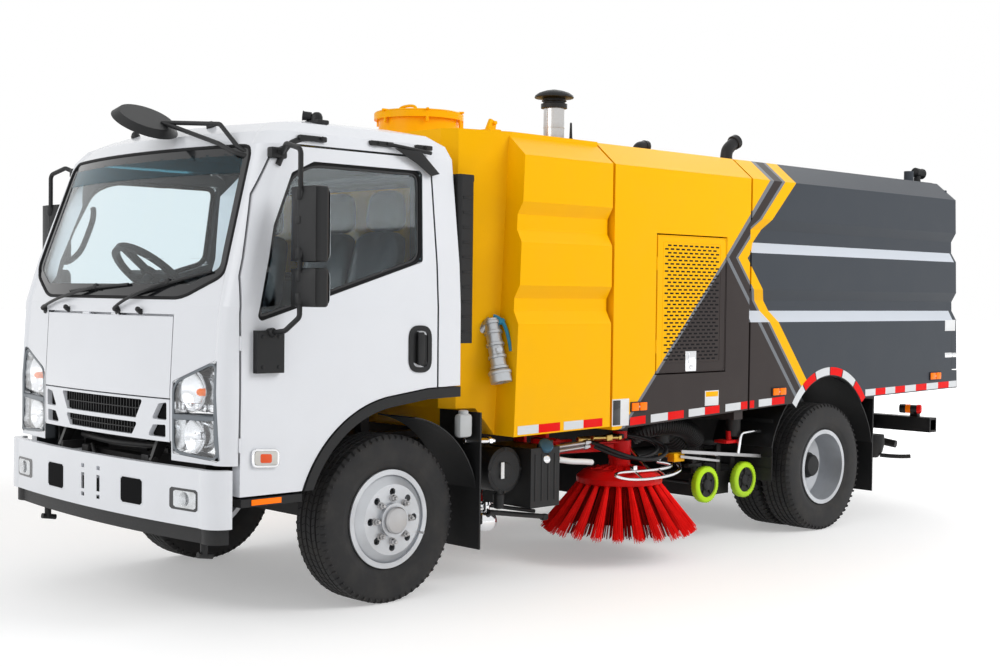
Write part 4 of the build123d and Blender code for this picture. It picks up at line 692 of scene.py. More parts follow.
class SWEEPER_OT_coats(bpy.types.Operator):
    """Give every fixed part its finish"""
    bl_idname = "sweeper.coats"
    bl_label = "Paint and finishes"

    def execute(self, context):
        left = set(NODES)
        for make, names in CAD_COATS:
            material = make()
            for name in names:
                for socket in NODES[name].material_slots:
                    socket.material = material
                left.discard(name)
        if left:
            raise RuntimeError("no finish for " + ", ".join(sorted(left)))
        return {"FINISHED"}


# ---------------------------------------------------------------- stage
CAMERA_PLACE = (5.9293, -6.1786, 1.4285)
CAMERA_YAW, CAMERA_PITCH, CAMERA_ROLL = 0.8027784, -0.0278903, 0.0121214
FOCAL_PIXELS, PICTURE_WIDTH, SENSOR = 1447.69, 1000.0, 36.0


class SWEEPER_OT_stage(bpy.types.Operator):
    """Add the camera, the pale floor and the soft lights"""
    bl_idname = "sweeper.stage"
    bl_label = "Camera, floor and lights"

    def execute(self, context):
        deselect()
        forward = Vector((-math.sin(CAMERA_YAW) * math.cos(CAMERA_PITCH),
                          math.cos(CAMERA_YAW) * math.cos(CAMERA_PITCH), math.sin(CAMERA_PITCH)))
        right = forward.cross(Vector((0, 0, 1))).normalized()
        up = right.cross(forward)
        cos, sin = math.cos(CAMERA_ROLL), math.sin(CAMERA_ROLL)
        right, up = cos * right + sin * up, cos * up - sin * right
        bpy.ops.object.camera_add()
        camera = context.object
        turn = Matrix((right, up, -forward)).transposed().to_4x4()
        camera.matrix_world = Matrix.Translation(CAMERA_PLACE) @ turn
        camera.data.sensor_width = SENSOR
        camera.data.lens = FOCAL_PIXELS / PICTURE_WIDTH * SENSOR
        camera.data.clip_end = 200.0
        context.scene.camera = camera
        bpy.ops.mesh.primitive_plane_add(size=160.0, location=(0, 0, 0))
        floor = context.object
        floor.name = "studio_floor"
        floor.data.materials.append(self.floor_coat())
        world = bpy.data.worlds.new("studio")
        context.scene.world = world
        world.use_nodes = True
        sheet = Sheet(world.node_tree)
        light = world.node_tree.nodes["Background"]
        paths = sheet.node("ShaderNodeLightPath")
        shown = sheet.math("MAXIMUM", paths.outputs["Is Camera Ray"], paths.outputs["Is Transmission Ray"])
        shown = sheet.math("MAXIMUM", shown, paths.outputs["Is Glossy Ray"])
        sheet.put(light.inputs["Strength"], sheet.spread(shown, 0.0, 1.0, 0.58, 1.0))
        light.inputs["Color"].default_value = (1.0, 1.0, 1.0, 1.0)
        for name, place, size, power in (("key", (7.5, 2.6, 6.0), 5.0, 410.0), ("fill", (-0.5, -9.0, 4.5), 5.0,
                175.0), ("back", (-3.5, 7.0, 6.0), 5.0, 150.0)):
            bpy.ops.object.light_add(type="AREA", location=place)
            lamp = context.object
            lamp.name = name
            lamp.visible_glossy = name != "key"
            lamp.data.energy = power
            lamp.data.size = size
            lamp.rotation_euler = (Vector((0, 0, 1.0)) - Vector(place)).to_track_quat("-Z", "Y").to_euler()
        context.scene.view_settings.view_transform = "Standard"
        return {"FINISHED"}

    def floor_coat(self):
        material = bpy.data.materials.new("studio_floor")
        material.use_nodes = True
        sheet = Sheet(material.node_tree)
        shader = material.node_tree.nodes["Principled BSDF"]
        shader.inputs["Base Color"].default_value = (0.80, 0.80, 0.80, 1.0)
        shader.inputs["Roughness"].default_value = 0.6
        shader.inputs["Specular IOR Level"].default_value = 0.1
        paths = sheet.node("ShaderNodeLightPath")
        seen = sheet.math("MAXIMUM", paths.outputs["Is Camera Ray"], paths.outputs["Is Glossy Ray"])
        seen = sheet.math("MAXIMUM", seen, paths.outputs["Is Transmission Ray"])
        split = sheet.split(sheet.place())
        across, along = (sheet.math("POWER", sheet.math("ABSOLUTE", split[axis]), 2.0) for axis in ("X", "Y"))
        far = sheet.math("SQRT", sheet.math("ADD", across, along))
        sheet.put(shader.inputs["Emission Strength"], sheet.math("MULTIPLY", seen, sheet.spread(far, 4.0, 11.0,
            0.33, 0.85)))
        shader.inputs["Emission Color"].default_value = (1.0, 1.0, 1.0, 1.0)
        return material


# ---------------------------------------------------------------- more shapes
def around(piece, count, centre, axis):
    """Copies of a piece set evenly round an axis through a point in millimetres."""
    pick(piece)
    settle()
    edit(piece)
    bpy.ops.mesh.spin(steps=count - 1, dupli=True, angle=2 * math.pi * (count - 1) / count, center=at(*centre),
                      axis=axis)
    leave()
    return piece


def repeated(piece, count, step):
    """Copies of a piece in a row, a step in millimetres apart."""
    pick(piece)
    settle()
    modify(piece, "ARRAY", count=count, use_relative_offset=False, use_constant_offset=True,
           constant_offset_displace=[value / 1000.0 for value in step])
    return piece


def skin(node, outline, view, lift, depth, rows=10):
    """Sheet with the outline's shape pressed on a node: an outline of (a, z) filled from bottom to top."""
    low, high = min(z for _, z in outline), max(z for _, z in outline)
    grid = []
    for row in range(rows + 1):
        height = low + (high - low) * (0.001 + 0.998 * row / rows)
        cuts = []
        for first, last in zip(outline, outline[1:] + outline[:1]):
            if (first[1] - height) * (last[1] - height) < 0:
                share = (height - first[1]) / (last[1] - first[1])
                cuts.append(first[0] + (last[0] - first[0]) * share)
        left, right = min(cuts), max(cuts)
        grid.append([at(*press(node, left + (right - left) * column / rows, height, view, lift))
                     for column in range(rows + 1)])
    return sheet_of(grid, depth)


def sheet_of(grid, depth=0.0, closed=False):
    """Mesh through rows of points in metres, given a thickness in millimetres."""
    rows, columns = len(grid), len(grid[0])
    faces = []
    for row in range(rows - 1):
        for column in range(columns if closed else columns - 1):
            after = (column + 1) % columns
            faces.append((row * columns + column, row * columns + after, (row + 1) * columns + after,
                          (row + 1) * columns + column))
    mesh = bpy.data.meshes.new("sheet")
    mesh.from_pydata([place for line in grid for place in line], [], faces)
    piece = bpy.data.objects.new("sheet", mesh)
    bpy.context.scene.collection.objects.link(piece)
    if depth:
        modify(piece, "SOLIDIFY", thickness=depth / 1000.0, offset=0.0)
        outward(piece)
    return piece


def both(piece, name, material, body, smooth=35.0):
    """Finish a piece for the left side and its mirror image for the right side; body holds a {} for the side."""
    piece = merged(piece) if isinstance(piece, list) else piece
    twin = flipped(copied(piece))
    finished(piece, name + "_left", material, body.format("left"), smooth)
    return finished(twin, name + "_right", material, body.format("right"), smooth)


def trim(node, outline, width, view, lift, depth, corner=60.0, longest=60.0):
    """Band along the inside of an outline, pressed on a node."""
    line = divided(rounded(outline, corner), longest)
    ring = draped(node, line, shrunk(line, width), view, lift)
    modify(ring, "SOLIDIFY", thickness=depth / 1000.0, offset=0.0)
    outward(ring)
    return ring


def seal(node, outline, view, radius, corner=60.0):
    """Rubber bead along an outline, pressed on a node."""
    places = [press(node, across, height, view, 1.0)
              for across, height in divided(rounded(outline, corner), 60.0)]
    return tube(places, radius, smooth=False, count=3, closed=True)


# ---------------------------------------------------------------- cab glass trims, wipers and roof fittings
WINDSHIELD = [(-598, 1390), (598, 1390), (834, 1493), (767, 2043), (-767, 2043), (-834, 1493)]
DOOR_WINDOW = [(-798, 1297), (111, 1569), (142, 1982), (-468, 1982), (-587, 1927), (-696, 1699)]
REAR_WINDOW = [(-617, 1503), (617, 1503), (617, 1957), (-617, 1957)]
FROM_FRONT, FROM_LEFT, FROM_REAR = ((0, 1, 0), -1500), ((-1, 0, 0), 1300), ((0, -1, 0), 700)


def frit_black():
    return coat("glass_border", (0.010, 0.011, 0.013), 0.12, amount=0.02, road=0.0, grain=0.05, clear=0.5,
        bump=0.05)


def tinted_band():
    return coat("tinted_glass", (0.10, 0.30, 0.38), 0.03, see=1.0, amount=0.0, road=0.0, grain=0.01, ior=1.35,
        bump=0.02, shine=0.16)


class SWEEPER_OT_window_trims(bpy.types.Operator):
    """Add the black borders, the tinted band and the rubber seals of the windows"""
    bl_idname = "sweeper.window_trims"
    bl_label = "Window borders and seals"

    def execute(self, context):
        bead = sizes().seal * 1000.0
        finished(trim("cab_glass", WINDSHIELD, 42.0, FROM_FRONT, 1.4, 1.0), "windshield_border", frit_black(),
                 "cab")
        finished(seal("cab_glass", WINDSHIELD, FROM_FRONT, bead), "windshield_seal", soft_black(), "cab")
        band = [(-740, 1925), (740, 1925), (733, 2010), (-733, 2010)]
        finished(skin("cab_glass", band, FROM_FRONT, 1.6, 0.6, 14), "windshield_tint", tinted_band(), "cab")
        foot = [(-590, 1425), (590, 1425), (640, 1450), (-640, 1450)]
        finished(skin("cab_glass", foot, FROM_FRONT, 1.3, 0.6, 14), "windshield_foot", frit_black(), "cab")
        finished(trim("cab_glass", REAR_WINDOW, 24.0, FROM_REAR, 1.2, 1.0), "rear_window_border", frit_black(),
                 "cab")
        finished(seal("cab_glass", REAR_WINDOW, FROM_REAR, bead), "rear_window_seal", soft_black(), "cab")
        both(trim("door_glass_left", DOOR_WINDOW, 20.0, FROM_LEFT, 1.2, 1.0), "door_glass_border", frit_black(),
             "door_{}")
        both(seal("door_glass_left", DOOR_WINDOW, FROM_LEFT, bead * 1.15), "door_glass_seal", soft_black(),
             "door_{}")
        return {"FINISHED"}


class SWEEPER_OT_wipers(bpy.types.Operator):
    """Add the two wipers and the washer nozzles"""
    bl_idname = "sweeper.wipers"
    bl_label = "Wipers and washers"

    def execute(self, context):
        def on_glass(x, z, lift):
            return press("cab_glass", x, z, FROM_FRONT, lift)

        wipers = (((-602, -968, 1324), (-60, 1432), (-320, 1412), (205, 1446)),
                  ((148, -1004, 1332), (500, 1456), (250, 1398), (752, 1502)))
        for count, (pivot, middle, low, high) in enumerate(wipers):
            base = turned(at(*pivot) + Vector((0, 0.012, 0)), (0, -0.9, 0.45),
                          [(-8, 22), (6, 22), (10, 15), (26, 15), (30, 10)], 24)
            x, y, z = pivot
            arm = tube([(x, y - 16, z + 8), (x + (middle[0] - x) * 0.15, y - 22, z + 34),
                        on_glass(x + (middle[0] - x) * 0.55, z + (middle[1] - z) * 0.6, 34), on_glass(*middle, 20)],
                       7.0, count=3)
            spine = [on_glass(low[0] + (high[0] - low[0]) * k / 8, low[1] + (high[1] - low[1]) * k / 8,
                              10 + 7 * math.sin(math.pi * k / 8)) for k in range(9)]
            rubber = [on_glass(low[0] + (high[0] - low[0]) * k / 8, low[1] + (high[1] - low[1]) * k / 8, 4.5)
                      for k in range(9)]
            blade = [base, arm, tube(spine, 6.0, count=2), tube(rubber, 3.5, count=2),
                            turned(at(*on_glass(*middle, 8)), (0.2, -0.9, 0.4), [(0, 14), (14, 14), (18, 9)], 16)]
            finished(blade, "wiper_%d" % (count + 1), moulded(), "cab")
        jets = []
        for x in (-319, 330):
            y = press("cab_shell", x, 1328, FROM_FRONT, 0)[1]
            jets += [turned(at(x, y + 4, 1328), (0, -1, 0.3), [(0, 13), (10, 13), (16, 9), (22, 9)], 20),
                     turned(at(x, y - 14, 1336), (0.6, -0.6, 0.5), [(0, 10), (10, 12), (18, 8)], 16)]
        finished(jets, "washer_nozzles", moulded(), "cab")
        return {"FINISHED"}


class SWEEPER_OT_roof_fittings(bpy.types.Operator):
    """Add the mirror clamps, the brackets above the doors and the roof sensor"""
    bl_idname = "sweeper.roof_fittings"
    bl_label = "Cab roof fittings"

    def execute(self, context):
        clamp = [tube([(876, -662, 1958), (868, -630, 2020), (850, -560, 2074), (842, -470, 2086)], 13.0),
            block((846, -700, 1985), (884, -618, 2032), 8.0), block((846, -545, 2072), (872, -400, 2096), 6.0),
            outwards(884, -660, 2012, [(0, 12), (6, 12), (8, 8), (14, 8)], 6), outwards(872, -430, 2086,
            [(0, 10), (6, 10), (8, 7), (12, 7)], 6)]
        both(clamp, "mirror_clamp", moulded(), "cab")
        hanger = [block((838, -150, 2082), (866, -20, 2104), 5.0), block((838, 120, 2084), (864, 215, 2106), 5.0),
            tube([(862, -60, 2094), (884, 60, 2080), (878, 190, 2070)], 9.0), turned(at(862, -110, 2092),
            (1, 0, 0.3), [(0, 11), (6, 11), (8, 7), (14, 7)], 6), turned(at(862, 170, 2094), (1, 0, 0.3),
            [(0, 11), (6, 11), (8, 7), (14, 7)], 6), panel([(890, -40, 2076), (888, 120, 2072), (893, 232, 1976),
            (893, 178, 1962), (893, 100, 2010)], (2.5, 0, 0), 1.0)]
        both(hanger, "rear_flap", moulded(), "cab")
        top = hit("cab_shell", (700, -330, 2400), (0, 0, -1), 0)
        x, y, z = top
        sensor = [
            block((x - 52, y - 32, z - 8), (x + 48, y + 34, z + 12), 6.0),
            upright(x, y, z + 8, [(0, 26), (20, 26), (34, 20), (40, 12)], 24),
            aimed_lamp((x - 26, y - 8, z + 30), (-0.6, -0.7, 0.1), 20, 42)]
        finished(sensor, "roof_sensor", moulded(), "cab")
        spots = []
        for x in (-330, 330):
            x, y, z = hit("cab_shell", (x, -640, 2400), (0, 0, -1), 0)
            spots.append(turned(at(x, y, z - 3), (0, -0.2, 1), [(0, 22), (10, 22), (24, 15), (30, 8)], 24))
        finished(spots, "roof_knobs", moulded(), "cab")
        return {"FINISHED"}


def aimed_lamp(place, direction, radius, length):
    """Short hooded lamp body aimed along a direction."""
    return turned(at(*place), direction, [(0, radius * 0.7), (4, radius), (length - 6, radius),
        (length, radius + 3), (length, radius - 4), (length - 8, radius - 5)], 24)


# ---------------------------------------------------------------- headlamps, grille and bumper
LAMP = [(577, 1038), (850, 1140), (880, 721), (577, 737)]
LAMP_UPPER = [(584, 1030), (838, 1124), (850, 912), (586, 906)]
LAMP_LOWER = [(586, 886), (850, 890), (858, 733), (588, 746)]


def lamp_face(x, z, depth):
    x, y, z = press("headlamps", x, z, FROM_FRONT, 0)
    return (x, y + depth, z)


class SWEEPER_OT_headlamps(bpy.types.Operator):
    """Add the headlamps with their bowls, bulbs, frames and lenses"""
    bl_idname = "sweeper.headlamps"
    bl_label = "Headlamps"

    def execute(self, context):
        frame_grey = coat("lamp_frame", (0.16, 0.18, 0.20), 0.3, amount=0.05, road=0.1, grain=0.2, metallic=0.3)
        bowl_coat = coat("lamp_reflector", (0.78, 0.79, 0.80), 0.14, metallic=1.0, amount=0.03, road=0.0, grain=0.1)
        line = divided(rounded(LAMP, 14.0), 45.0)
        walls = sheet_of([[at(*lamp_face(x, z, depth)) for x, z in line] for depth in (1, 40)], 2.0, closed=True)
        eighths = [k / 8 for k in range(9)]
        back = sheet_of([[at(*lamp_face(577 + (292 - 22 * up) * out, 735 + (300 + 95 * out) * up, 42))
                          for out in eighths] for up in eighths], 3.0)
        both([walls, back], "lamp_housing", bowl_coat, "cab")
        bowls = []
        for x, z, radius in ((700, 1006, 86), (706, 815, 72)):
            place = lamp_face(x, z, 40)
            bowls.append(turned(at(*place), (0.05, -1, 0), [(0, radius * 0.3), (3, radius * 0.6),
                (12, radius * 0.85), (26, radius), (29, radius), (28, radius * 0.96), (14, radius * 0.8),
                (6, radius * 0.5), (4, radius * 0.28)], 40))
        for x in (608, 656, 704, 752, 800):
            x, y, z = lamp_face(x, 936, 30)
            bowls.append(block((x - 20, y - 12, z - 17), (x + 20, y + 8, z + 17), 5.0))
        x, y, z = lamp_face(706, 815, 34)
        bowls.append(turned(at(x, y, z), (0.05, -1, 0), [(0, 16), (16, 16), (22, 9)], 24))
        both(bowls, "lamp_bowls", chrome(), "cab")
        x, y, z = lamp_face(728, 1000, 34)
        both(turned(at(x, y, z), (0.05, -1, 0), [(0, 15), (12, 16), (22, 12), (27, 5)], 24), "lamp_bulb", amber(),
            "cab")
        rim = trim("headlamps", LAMP, 11.0, FROM_FRONT, 0.5, 5.0)
        post = skin("headlamps", [(842, 1128), (856, 1134), (882, 726), (852, 730)], FROM_FRONT, 0.5, 5.0, 6)
        bar = skin("headlamps", [(580, 903), (852, 908), (854, 886), (580, 882)], FROM_FRONT, 1.0, 8.0, 8)
        both([rim, post, bar], "lamp_frame", frame_grey, "cab")
        lenses = merged([skin("headlamps", outline, FROM_FRONT, -1.5, 1.6, 8)
                         for outline in (LAMP_UPPER, LAMP_LOWER)])
        both(lenses, "lamp_lens", clear_plastic(), "cab")
        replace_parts(bpy.data.objects["lamp_housing_left"], "headlamps")
        return {"FINISHED"}


def bowed(base, x):
    """Distance of the bowed front from the axle at a place across the cab."""
    return base + x * x / 12950.0


class SWEEPER_OT_grille(bpy.types.Operator):
    """Add a near-black sheet of painted shade and the ribs behind the grille's openings"""
    bl_idname = "sweeper.grille"
    bl_label = "Grille ribs"

    def execute(self, context):
        ribs = []
        across = [-544 + 1088 * k / 24 for k in range(25)]
        # Near-black sheet behind the grille: painted shade in its openings.
        backing = sheet_of([[at(x, bowed(-983.4, x), z) for x in across] for z in (784, 962)], 2.0)
        finished(backing, "grille_shade_sheet", recess_shade_black(), "cab")
        for low, high, half in ((866, 952, 350), (794, 850, 318)):
            line = [-half + 2 * half * k / 16 for k in range(17)]
            middle = (low + high) / 2
            ribs.append(sheet_of([[at(x, bowed(depth, x), middle) for x in line] for depth in (-998, -985)], 4.0))
            for k in range(int(half / 12)):
                x = -half + 12 + 24 * k
                ribs.append(block((x - 3, bowed(-996, x), low), (x + 3, bowed(-985, x), high), 1.0))
        finished(ribs, "grille_ribs", moulded(), "cab")
        return {"FINISHED"}


class SWEEPER_OT_bumper(bpy.types.Operator):
    """Add the fog lamps, the plate pad and the fittings behind the bumper"""
    bl_idname = "sweeper.bumper"
    bl_label = "Bumper fittings"

    def execute(self, context):
        # The near-black sheets in the vent holes and the blocks in the plate slots are painted shade of the
        # recesses.
        recess_shade = recess_shade_black()

        def pressed(outline, lift, depth):
            """Plate of rounded outline that follows the bumper's bowed face."""
            low, high = min(z for _, z in outline), max(z for _, z in outline)
            rows = []
            for step in range(13):
                share = step / 12
                corner = max(0.0, (abs(2 * share - 1) - 0.72) / 0.28)
                ease = 14.0 * (1.0 - math.sqrt(max(0.0, 1.0 - corner ** 2)))
                left, right = min(x for x, _ in outline) + ease, max(x for x, _ in outline) - ease
                places = [left + (right - left) * k / 10 for k in range(11)]
                rows.append([at(x, bowed(-1050 - lift, x), low + (high - low) * share) for x in places])
            return sheet_of(rows, depth)

        vent = [(262, 502), (425, 502), (425, 612), (262, 612)]
        both(pressed(vent, 0.6, 1.2), "bumper_vent_shade", recess_shade, "chassis")
        lamp = [(622, 511), (806, 511), (806, 602), (622, 602)]
        both(pressed(lamp, 0.2, 1.6), "fog_bezel", frit_black(), "chassis")
        glow_area = [(650, 521), (796, 521), (796, 592), (650, 592)]
        both(pressed(glow_area, 1.6, 1.2), "fog_reflector", coat("fog_silver", (0.62, 0.64, 0.66), 0.22,
            metallic=0.8, amount=0.3, road=0.1, scale=26.0), "chassis")
        bulb = turned(at(722, bowed(-1052, 722), 558), (0.1, -1, 0), [(0, 30), (2, 30), (5, 20), (7, 6)], 28)
        both(bulb, "fog_bulb", clear_plastic(), "chassis")
        slots = [block((x - half, -1048.6, low), (x + half, -1046, high), 1.0) for x in (-60, 60)
                 for half, low, high in ((13, 513, 583), (11, 592, 614), (11, 480, 502))]
        finished(slots, "plate_slot_shade", recess_shade, "chassis")
        pad = [(-112, 462), (112, 462), (112, 660), (-112, 660)]
        finished(trim("front_bumper", pad, 9.0, FROM_FRONT, -1.6, 3.0, 10.0, 30.0), "plate_pad", cab_white(),
            "chassis")
        rim = tube([(x, bowed(-1048, x), z) for x, z in rounded([(258, 498), (429, 498), (429, 616), (258, 616)],
            16.0)], 4.0, smooth=False, count=3, closed=True)
        both(rim, "bumper_hole_rim", cab_white(), "chassis")
        dark = [tube([(-340, -900, 742), (-120, -930, 735), (120, -930, 735), (340, -900, 742)], 15.0),
                 block((-300, -935, 560), (-240, -905, 700), 6.0), block((240, -935, 560), (300, -905, 700), 6.0),
                 tube([(-250, -905, 700), (-180, -925, 650), (-160, -905, 600)], 11.0),
                 block((-180, -870, 700), (180, -845, 770), 10.0)]
        finished(dark, "front_fittings", chassis_black(), "chassis")
        return {"FINISHED"}


# ---------------------------------------------------------------- doors and mirrors
MIRROR_HEIGHTS = ((1547, 1858), (1362, 1522))


class SWEEPER_OT_door_fittings(bpy.types.Operator):
    """Add the door handles, side markers, sill reflectors and mirror faces"""
    bl_idname = "sweeper.door_fittings"
    bl_label = "Door fittings"

    def execute(self, context):
        outline = [(22, 1064), (158, 1060), (158, 1276), (22, 1278)]
        rim = trim("door_left", outline, 24.0, FROM_LEFT, 2.5, 6.0)
        dish = skin("door_left", [(40, 1084), (140, 1082), (140, 1256), (40, 1258)], FROM_LEFT, 0.8, 1.2, 6)
        both([rim, dish], "handle_frame", moulded(), "door_{}")
        pull = [block((938, 66, 1096), (952, 104, 1246), 9.0), block((930, 70, 1098), (944, 100, 1118), 5.0),
            block((930, 70, 1226), (944, 100, 1246), 5.0), outwards(931, 124, 1105, [(0, 9), (4, 9), (5, 6)], 20)]
        both(pull, "door_handle", moulded(), "door_{}")
        marker = rounded([(-818, 700), (-693, 692), (-693, 760), (-818, 768)], 20.0)
        both(tube([(935.5, y, z) for y, z in marker], 7.0, smooth=False, count=4, closed=True), "marker_frame",
            chrome(), "door_{}")
        both(panel([(937.0, y, z) for y, z in rounded([(-812, 705), (-699, 698), (-699, 755), (-812, 762)], 16.0)],
            (5, 0, 0), 1.5), "marker_lens", coat("marker_lens", (0.66, 0.64, 0.60), 0.12, amount=0.1, road=0.05,
            grain=0.6, grain_scale=200.0, clear=0.4), "door_{}")
        both(panel([(939.4, y, z) for y, z in rounded([(-785, 712), (-728, 709), (-728, 746), (-785, 750)], 10.0)],
            (4, 0, 0), 1.5), "marker_bulb", coat("marker_orange", (0.85, 0.10, 0.02), 0.2, amount=0.1, road=0.0,
            grain=0.4, clear=0.2, shine=0.2), "door_{}")
        both(panel([(926.6, -818, 536), (926.6, -668, 536), (926.6, -668, 560), (926.6, -818, 560)], (2.2, 0, 0),
            0.8), "sill_reflector", amber(), "cab")
        faces = []
        glass = coat("mirror_glass", (0.75, 0.79, 0.82), 0.03, metallic=1.0, amount=0.0, road=0.0, grain=0.0,
            bump=0.0)
        for low, high in MIRROR_HEIGHTS:
            line = rounded([(1022, low + 12), (1178, low + 12), (1178, high - 12), (1022, high - 12)], 24.0)
            faces.append(panel([(x, -614.4, z) for x, z in line], (0, 1.4, 0), 0.5))
        both(faces, "mirror_glass", glass, "door_{}")
        backs = []
        for low, high in MIRROR_HEIGHTS:
            rows = []
            for step in range(11):
                v = step / 5 - 1
                rows.append([at(1100 + 83 * u / 6, -691 - 15 * (1 - abs(u / 6) ** 3) * (1 - abs(v) ** 4),
                                (low + high) / 2 + (high - low - 6) / 2 * v) for u in range(-6, 7)])
            backs.append(sheet_of(rows, 3.0))
        both(backs, "mirror_back", moulded(), "door_{}", smooth=60)
        ribs = []
        for low, high in MIRROR_HEIGHTS:
            for z in (low + 34, high - 34):
                ribs.append(upright(1085, -697, z - 22, [(0, 17), (3, 19), (41, 19), (44, 17)], 24))
                ribs.append(block((1062, -706, z - 15), (1108, -684, z + 15), 5.0))
        ribs.append(block((1068, -712, 1700), (1100, -686, 1735), 6.0))
        ribs += [outwards(962, -790 + 80 * k, z, [(0, 8), (3, 8), (4, 5)], 6) for k in (0, 1) for z in (1110, 1236)]
        ribs.append(turned(at(944, -745, 1250), (1, 0, 0.2), [(0, 22), (24, 20), (34, 14)], 24))
        both(ribs, "mirror_clamps", moulded(), "door_{}")
        return {"FINISHED"}


# ---------------------------------------------------------------- cab interior
def cushion(low, high, crown, lean=0.0, narrow=1.0):
    """Crowned closed pad between two corners in millimetres, leaning back and narrowing upwards."""
    piece = block(low, high, 0)
    edit(piece)
    bpy.ops.mesh.subdivide(number_cuts=7)
    leave()
    first, last = at(*low), at(*high)
    middle, half = (first + last) / 2, (last - first) / 2
    half = Vector([abs(value) for value in half])
    pick(piece)
    settle()
    for vertex in piece.data.vertices:
        share = Vector([(vertex.co[k] - middle[k]) / half[k] for k in range(3)])
        pull = Vector((0, 0, 0))
        for axis in range(3):
            others = [share[k] for k in range(3) if k != axis]
            swell = (1 - others[0] ** 4) * (1 - others[1] ** 4)
            if abs(share[axis]) > 0.99:
                pull[axis] += math.copysign(crown / 1000.0 * swell, share[axis])
            corner = max(abs(others[0]), abs(others[1])) ** 10
            pull[axis] -= math.copysign(crown / 1400.0 * corner, share[axis]) * abs(share[axis])
        crease = 0.0022 * math.sin(share[0] * 9 + share[2] * 5) * math.cos(share[2] * 11 - share[1] * 4)
        place = vertex.co + pull + pull.normalized() * crease if pull.length else vertex.co
        up = (share[2] + 1) / 2
        place.x = middle.x + (place.x - middle.x) * (1 + (narrow - 1) * up)
        place.y += lean / 1000.0 * up
        vertex.co = place
    modify(piece, "SUBSURF", levels=1, render_levels=1)
    return piece


class SWEEPER_OT_interior(bpy.types.Operator):
    """Add the seats, the dashboard, the steering column and the grab handles"""
    bl_idname = "sweeper.interior"
    bl_label = "Cab interior"

    def execute(self, context):
        grey = coat("dash_plastic", (0.045, 0.052, 0.062), 0.5, amount=0.1, road=0.0, grain=0.9, grain_scale=900.0)
        dash = panel([(-756, y, z) for y, z in ((-884, 905), (-602, 905), (-562, 1120), (-590, 1240), (-640, 1322),
                                                (-720, 1344), (-858, 1342), (-882, 1290))], (1512, 0, 0), 12.0)
        hood = panel([(-640, y, z) for y, z in ((-770, 1335), (-610, 1290), (-585, 1310), (-640, 1382),
            (-740, 1388))], (330, 0, 0), 10.0)
        vents = [block((x - 58, -588, 1190), (x + 58, -560, 1250), 6.0) for x in (-120, 20, 640)]
        tray = block((-160, -585, 1010), (120, -556, 1160), 8.0)
        rim = tube([(-600, -612, 1352), (-510, -612, 1352)], 8.0, smooth=False)
        finished([dash, hood, tray, *vents, rim], "dashboard", grey, "cab")
        column = [rod((-470, -557, 1398), (-470, -640, 1300), 35.0), rod((-470, -552, 1404), (-470, -600, 1347),
            46.0, 6.0), tube([(-470, -570, 1385), (-400, -560, 1400), (-330, -545, 1405)], 7.0),
            tube([(-470, -570, 1385), (-540, -560, 1400), (-610, -545, 1405)], 7.0)]
        finished(column, "steering_column", grey, "cab")
        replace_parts(bpy.data.objects["dashboard"], "cab_interior")
        piping = coat("seat_piping", (0.02, 0.022, 0.026), 0.5, amount=0.1, road=0.0, grain=0.6)
        for name, middle, half in (("driver", -470, 232), ("mate", 520, 182), ("middle", 140, 182)):
            base = cushion((middle - half, -330, 1190), (middle + half, 150, 1322), 16.0)
            back = cushion((middle - half + 6, 70, 1330), (middle + half - 6, 170, 1700), 16.0, 70.0, 0.86)
            for pad, label in ((base, "seat"), (back, "back")):
                finished(pad, "%s_%s" % (name, label), seat_cover(), "cab", smooth=60)
            head = cushion((middle - 118, 172, 1728), (middle + 118, 258, 1900), 14.0, 10.0, 0.84)
            finished(head, name + "_headrest", seat_cover(), "cab", smooth=60)
            posts = [rod((middle + offset, 205, 1680), (middle + offset, 210, 1745), 7.0) for offset in (-50, 50)]
            finished(posts, name + "_posts", chrome(), "cab")
            edge = rounded([(middle - half + 4, -326), (middle + half - 4, -326), (middle + half - 4, 146),
                            (middle - half + 4, 146)], 40.0)
            finished(tube([(x, y, 1308) for x, y in edge], 5.0, closed=True, smooth=False, count=2),
                name + "_piping", piping, "cab")
            finished(block((middle - half + 20, -300, 1042), (middle + half - 20, 150, 1196), 20.0),
                name + "_seat_box", grey, "cab")
        grip = ((812, -735, 1560), (770, -700, 1590), (752, -660, 1700), (748, -630, 1790), (776, -620, 1830))
        handle = merged([tube([(side * x, y, z) for x, y, z in grip], 14.0) for side in (-1, 1)])
        finished(handle, "grab_handles", grey, "cab")
        liner = coat("cab_liner", (0.20, 0.22, 0.24), 0.7, amount=0.1, road=0.0, grain=0.6)
        finished([block((-700, 276, 1062), (700, 284, 1480), 4.0), tube([(x, 268, 1985) for x in (-640, 0, 640)],
            12.0, smooth=False)], "rear_liner", liner, "cab")
        return {"FINISHED"}


# ---------------------------------------------------------------- wheels
def hoop(x, y, z, profile, count):
    """Closed ring: a profile of (distance outwards, radius) turned round an axis across the truck."""
    grid = []
    for step in range(count):
        angle = 2 * math.pi * step / count
        grid.append([at(x + across, y + radius * math.sin(angle), z + radius * math.cos(angle))
                     for across, radius in profile])
    piece = sheet_of([*grid, grid[0]], 0.0, closed=True)
    outward(piece)
    return piece


